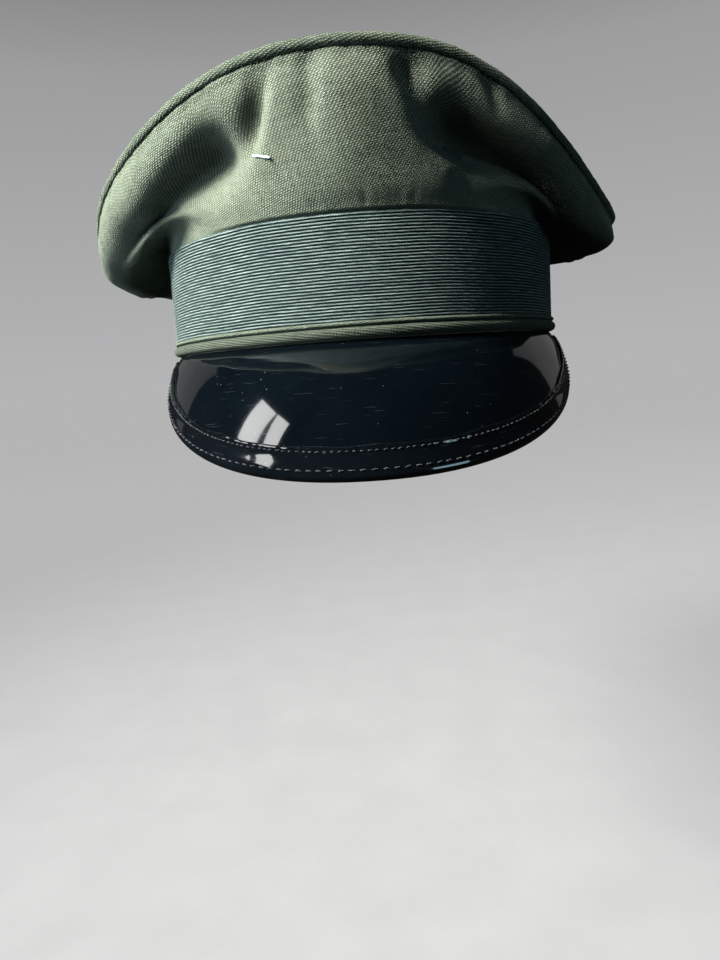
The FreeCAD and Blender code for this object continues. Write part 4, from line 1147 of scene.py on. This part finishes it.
def peak_binding():
    """The folded strip round the peak's edge: it wavers a little and swells along its inner edge."""
    width = binding_width()
    along = np.linspace(0.0, 330.0, len(PEAK_ANGLES))
    waver = 0.28 * ripple(along, (23.0, 38.0, 61.0), 111) * np.minimum(1.0, width / BINDING_WIDTH)
    upper = width + waver
    lower = upper * BINDING_UNDER / BINDING_WIDTH
    puff = 0.16 * ripple(along, (5.2, 8.1, 13.0), 112)
    outward = unit(PEAK_FACE[:, -1] - PEAK_FACE[:, -6])
    edge_up = PEAK_NORMALS[:, -1]
    rows = []
    for side in ("outer", "inner"):
        lift = BINDING_CLEAR + (BINDING_THICKNESS if side == "outer" else 0.0)
        swell = np.array([0.12, 0.55, 0.62, 0.34, 0.02, -0.16, -0.10, 0.05, 0.10, 0.05])
        parts = np.array([1.0, 0.965, 0.90, 0.83, 0.76, 0.62, 0.46, 0.30, 0.16, 0.05])
        points = []
        for part, rise in zip(parts, swell):
            bulge = (0.55 * rise + puff * bell(part, 0.9, 0.1)) if side == "outer" else 0.0
            points.append(peak_at(upper * part, lift + bulge))
        middle = PEAK_FACE[:, -1] - edge_up * (0.5 * PEAK_THICKNESS)
        reach = 0.5 * PEAK_THICKNESS + lift
        for turn in np.radians([70.0, 45.0, 20.0, 0.0, -20.0, -45.0, -70.0]):
            spoke = outward * (0.85 * math.cos(turn)) + edge_up * math.sin(turn)
            points.append(middle + spoke * reach)
        for part in (0.05, 0.3, 0.6, 0.85, 0.97, 1.0):
            points.append(peak_at(lower * part, -PEAK_THICKNESS - lift))
        rows.append(np.stack(points, 1))
    outer, inner = (spline_rows(row, np.linspace(0.0, 1.0, 64)) for row in rows)
    Skin().slab(outer, inner).build("patent_binding", PATENT_BINDING, "patent", ["peak_binding"], 75.0)


def peak_stitches():
    """Two rows of stitches through the binding."""
    width = binding_width()
    rows = (
        ("binding_inner_stitches", "peak_inner_stitches", width * 0.80, 2.4, 0.20),
        ("binding_outer_stitches", "peak_outer_stitches", width * 0.15, 3.5, 0.22),
    )
    for name, node, distance, pitch, radius in rows:
        surface = BINDING_CLEAR + BINDING_THICKNESS + 0.12
        path = peak_at(distance, surface)
        up = unit(peak_at(distance, surface + 1.0) - path)
        skin = Skin()
        stitch_row(skin, path, up, pitch, radius, 0.62, 0.3, 0.26)
        skin.build(name, BLACK_THREAD, "black_thread", [node])


# ---- Small things ----------------------------------------------------------------------------
def tag_fastener():
    """A nylon tag barb caught in the front: a crossbar with rounded ends and a stub of filament."""
    left, normal = wall_spot(-18.2, 0.437, 1.5)
    right = wall_spot(-13.8, 0.40, 1.0)[0]
    ahead = unit(right - left)
    middle = 0.5 * (left + right)
    along = np.array([-3.6, -3.45, -3.0, -1.0, 1.0, 2.9, 3.4, 3.6])
    thick = np.array([0.12, 0.3, 0.4, 0.36, 0.36, 0.4, 0.3, 0.12])
    centre = middle + ahead * along[:, None]
    side = unit(np.cross(ahead, normal))
    skin = Skin()
    skin.tube(rounds(centre, side[None], normal[None], thick[:, None], 12))
    stub = middle - normal * np.linspace(0.0, 1.6, 5)[:, None]
    skin.tube(rounds(stub, side[None], ahead[None], 0.22, 10))
    skin.build("tag_barb", BARB, "pale_plastic", ["tag_fastener"])


def finish_frame_nodes():
    """The frame's own pieces that stay: each gets its real finish."""
    finishes = (
        (CORD, ("crown_welt_cord", "lower_welt_cord", "band_piping_cord")),
        (BOARD, ("band_stiffener", "peak_core")),
        (SPRING, ("grommet_wire",)),
        (BRASS, ("grommet_ferrule",)),
        (REED, ("sweatband_reed",)),
    )
    for name, material in ((name, material) for material, names in finishes for name in names):
        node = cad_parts[name]
        node.data.materials.clear()
        node.data.materials.append(material)


# ---- Stage, light and camera -----------------------------------------------------------------
CAMERA_SPOT = (0.0, -0.3606, -0.009)
CAMERA_TURN = -1.1              # degrees: to the left of straight ahead, downwards, and its roll
CAMERA_PITCH = 9.07
CAMERA_ROLL = 4.05
CAMERA_LENS = 27.0
CAMERA_SENSOR = 36.0
FLOOR_REACH = 40.0
FLOOR_HEIGHT = -0.30


def camera():
    turn = math.radians(CAMERA_TURN)
    pitch = math.radians(CAMERA_PITCH)
    roll = math.radians(CAMERA_ROLL)
    level = math.cos(pitch)
    forward = Vector((math.sin(turn) * level, math.cos(turn) * level, -math.sin(pitch)))
    right = forward.cross(Vector((0.0, 0.0, 1.0))).normalized()
    up = right.cross(forward)
    rolled_right = right * math.cos(roll) - up * math.sin(roll)
    rolled_up = right * math.sin(roll) + up * math.cos(roll)
    data = bpy.data.cameras.new("camera")
    data.lens = CAMERA_LENS
    data.sensor_width = CAMERA_SENSOR
    seat = bpy.data.objects.new("camera", data)
    facing = Matrix((rolled_right, rolled_up, -forward)).transposed().to_4x4()
    seat.matrix_world = Matrix.Translation(CAMERA_SPOT) @ facing
    bpy.context.scene.collection.objects.link(seat)
    bpy.context.scene.camera = seat


def lamp(name, spot, aim, size, power, tint=(1.0, 1.0, 1.0), height=None, spread=150.0):
    """A soft rectangular light that the camera doesn't see."""
    data = bpy.data.lights.new(name, "AREA")
    data.shape = "RECTANGLE"
    data.size = size
    data.size_y = height or size
    data.energy = power
    data.color = tint
    data.spread = math.radians(spread)
    holder = bpy.data.objects.new(name, data)
    holder.location = spot
    holder.rotation_euler = (Vector(aim) - Vector(spot)).to_track_quat("-Z", "Y").to_euler()
    holder.visible_camera = False
    bpy.context.scene.collection.objects.link(holder)
    return holder


def floor():
    """A wide pale floor with its own faint glow, which throws no light on the cap."""
    shader = Shader("pale_floor", Roughness=0.75, Emission_Strength=0.46)
    mottle = shader.noise(shader.space(), 0.05, 4.0)
    shader.colour(mottle, (0.3, 0.070), (0.7, 0.085))
    shader.bump(shader.noise(shader.space(), 0.006, 3.0), 0.0004, 0.3)
    mesh = bpy.data.meshes.new("floor")
    signs = ((-1, -1), (1, -1), (1, 1), (-1, 1))
    corners = [(x * FLOOR_REACH, y * FLOOR_REACH, FLOOR_HEIGHT) for x, y in signs]
    mesh.from_pydata(corners, [], [(0, 1, 2, 3)])
    mesh.materials.append(shader.material)
    plane = bpy.data.objects.new("floor", mesh)
    plane.visible_diffuse = False
    plane.visible_glossy = False
    bpy.context.scene.collection.objects.link(plane)


def sky():
    """Pale near the horizon and dim overhead, and far dimmer for what it lights than for the camera."""
    world = bpy.data.worlds.new("studio")
    world.use_nodes = True
    nodes = world.node_tree.nodes
    link = world.node_tree.links.new
    back = nodes["Background"]
    kinds = ("TexCoord", "SeparateXYZ", "ValToRGB", "LightPath", "MapRange")
    coordinate, split, ramp, rays, strength = (nodes.new("ShaderNode" + kind) for kind in kinds)
    strength.inputs["To Min"].default_value = 0.03
    link(coordinate.outputs["Generated"], split.inputs[0])
    link(split.outputs[2], ramp.inputs[0])
    link(rays.outputs["Is Camera Ray"], strength.inputs["Value"])
    link(strength.outputs[0], back.inputs["Strength"])
    link(ramp.outputs[0], back.inputs[0])
    stops = ((0.0, 0.46), (0.35, 0.34), (0.62, 0.04), (0.9, 0.015))
    while len(ramp.color_ramp.elements) < len(stops):
        ramp.color_ramp.elements.new(0.5)
    for element, (at, grey) in zip(ramp.color_ramp.elements, stops):
        element.position = at
        element.color = (grey, grey, 1.02 * grey, 1.0)
    bpy.context.scene.world = world


def around(azimuth, height, distance):
    """A place that far from the cap, at an azimuth from the front and a height angle."""
    turn = math.radians(azimuth)
    rise = math.radians(height)
    flat = distance * math.cos(rise)
    return (flat * math.sin(turn), -flat * math.cos(turn), distance * math.sin(rise))


def lights():
    """A strong key from the left, the two panes that the peak mirrors, rims behind and cool fills."""
    middle = (0.0, -0.03, 0.03)
    key = lamp("key", around(-58.0, 36.0, 1.2), middle, 0.46, 18.0, (1.0, 0.99, 0.96), 0.42, 70.0)
    key.visible_glossy = False
    for side in (-1.0, 1.0):
        pane = lamp("pane", around(-73.0 + 6.5 * side, 38.0, 1.2), middle, 0.17, 0.9, height=0.42)
        pane.visible_diffuse = False
        edge = lamp("edge", around(138.0 * side, 22.0, 1.8), middle, 0.9, 0.2)
        edge.visible_diffuse = False
        rear = lamp("rear", around(140.0 * side, 28.0, 2.4), middle, 2.0, 5.5)
        rear.visible_glossy = False
    low = lamp("low_fill", around(-80.0, -6.0, 1.3), middle, 0.3, 2.8, (0.72, 0.92, 1.1), spread=80.0)
    lamp("far_fill", around(45.0, 5.0, 1.6), middle, 0.6, 0.9, (0.55, 0.88, 1.05), spread=90.0)
    low.visible_glossy = False


def build():
    wall_panel("front_panel_cloth", "crown_front_panel", -SIDE_SEAM_ANGLE, SIDE_SEAM_ANGLE)
    wall_panel("rear_right_panel_cloth", "crown_rear_right_panel", -180.0, -SIDE_SEAM_ANGLE)
    wall_panel("rear_left_panel_cloth", "crown_rear_left_panel", SIDE_SEAM_ANGLE, 180.0)
    interlining()
    front_stay()
    top_panel()
    crown_welt()
    crown_seam_threads()
    lining_wall()
    lining_top()
    sweat_shield()
    ribbed_braid()
    bead("lower_welt_roll", "lower_welt", WELT_CLOTH, 0.5, (0.0, 4.2), 1.5, uneven_relief)
    bead("band_piping_roll", "band_piping", BIAS_CLOTH, 0.34, (4.35, 6.15), 0.8, twisted_relief)
    band_cloth()
    sweatband()
    join_strip()
    forehead_pad()
    peak_skins()
    peak_binding()
    peak_stitches()
    tag_fastener()
    finish_frame_nodes()


camera()
build()
floor()
sky()
lights()
bpy.context.scene.view_settings.view_transform = "Standard"
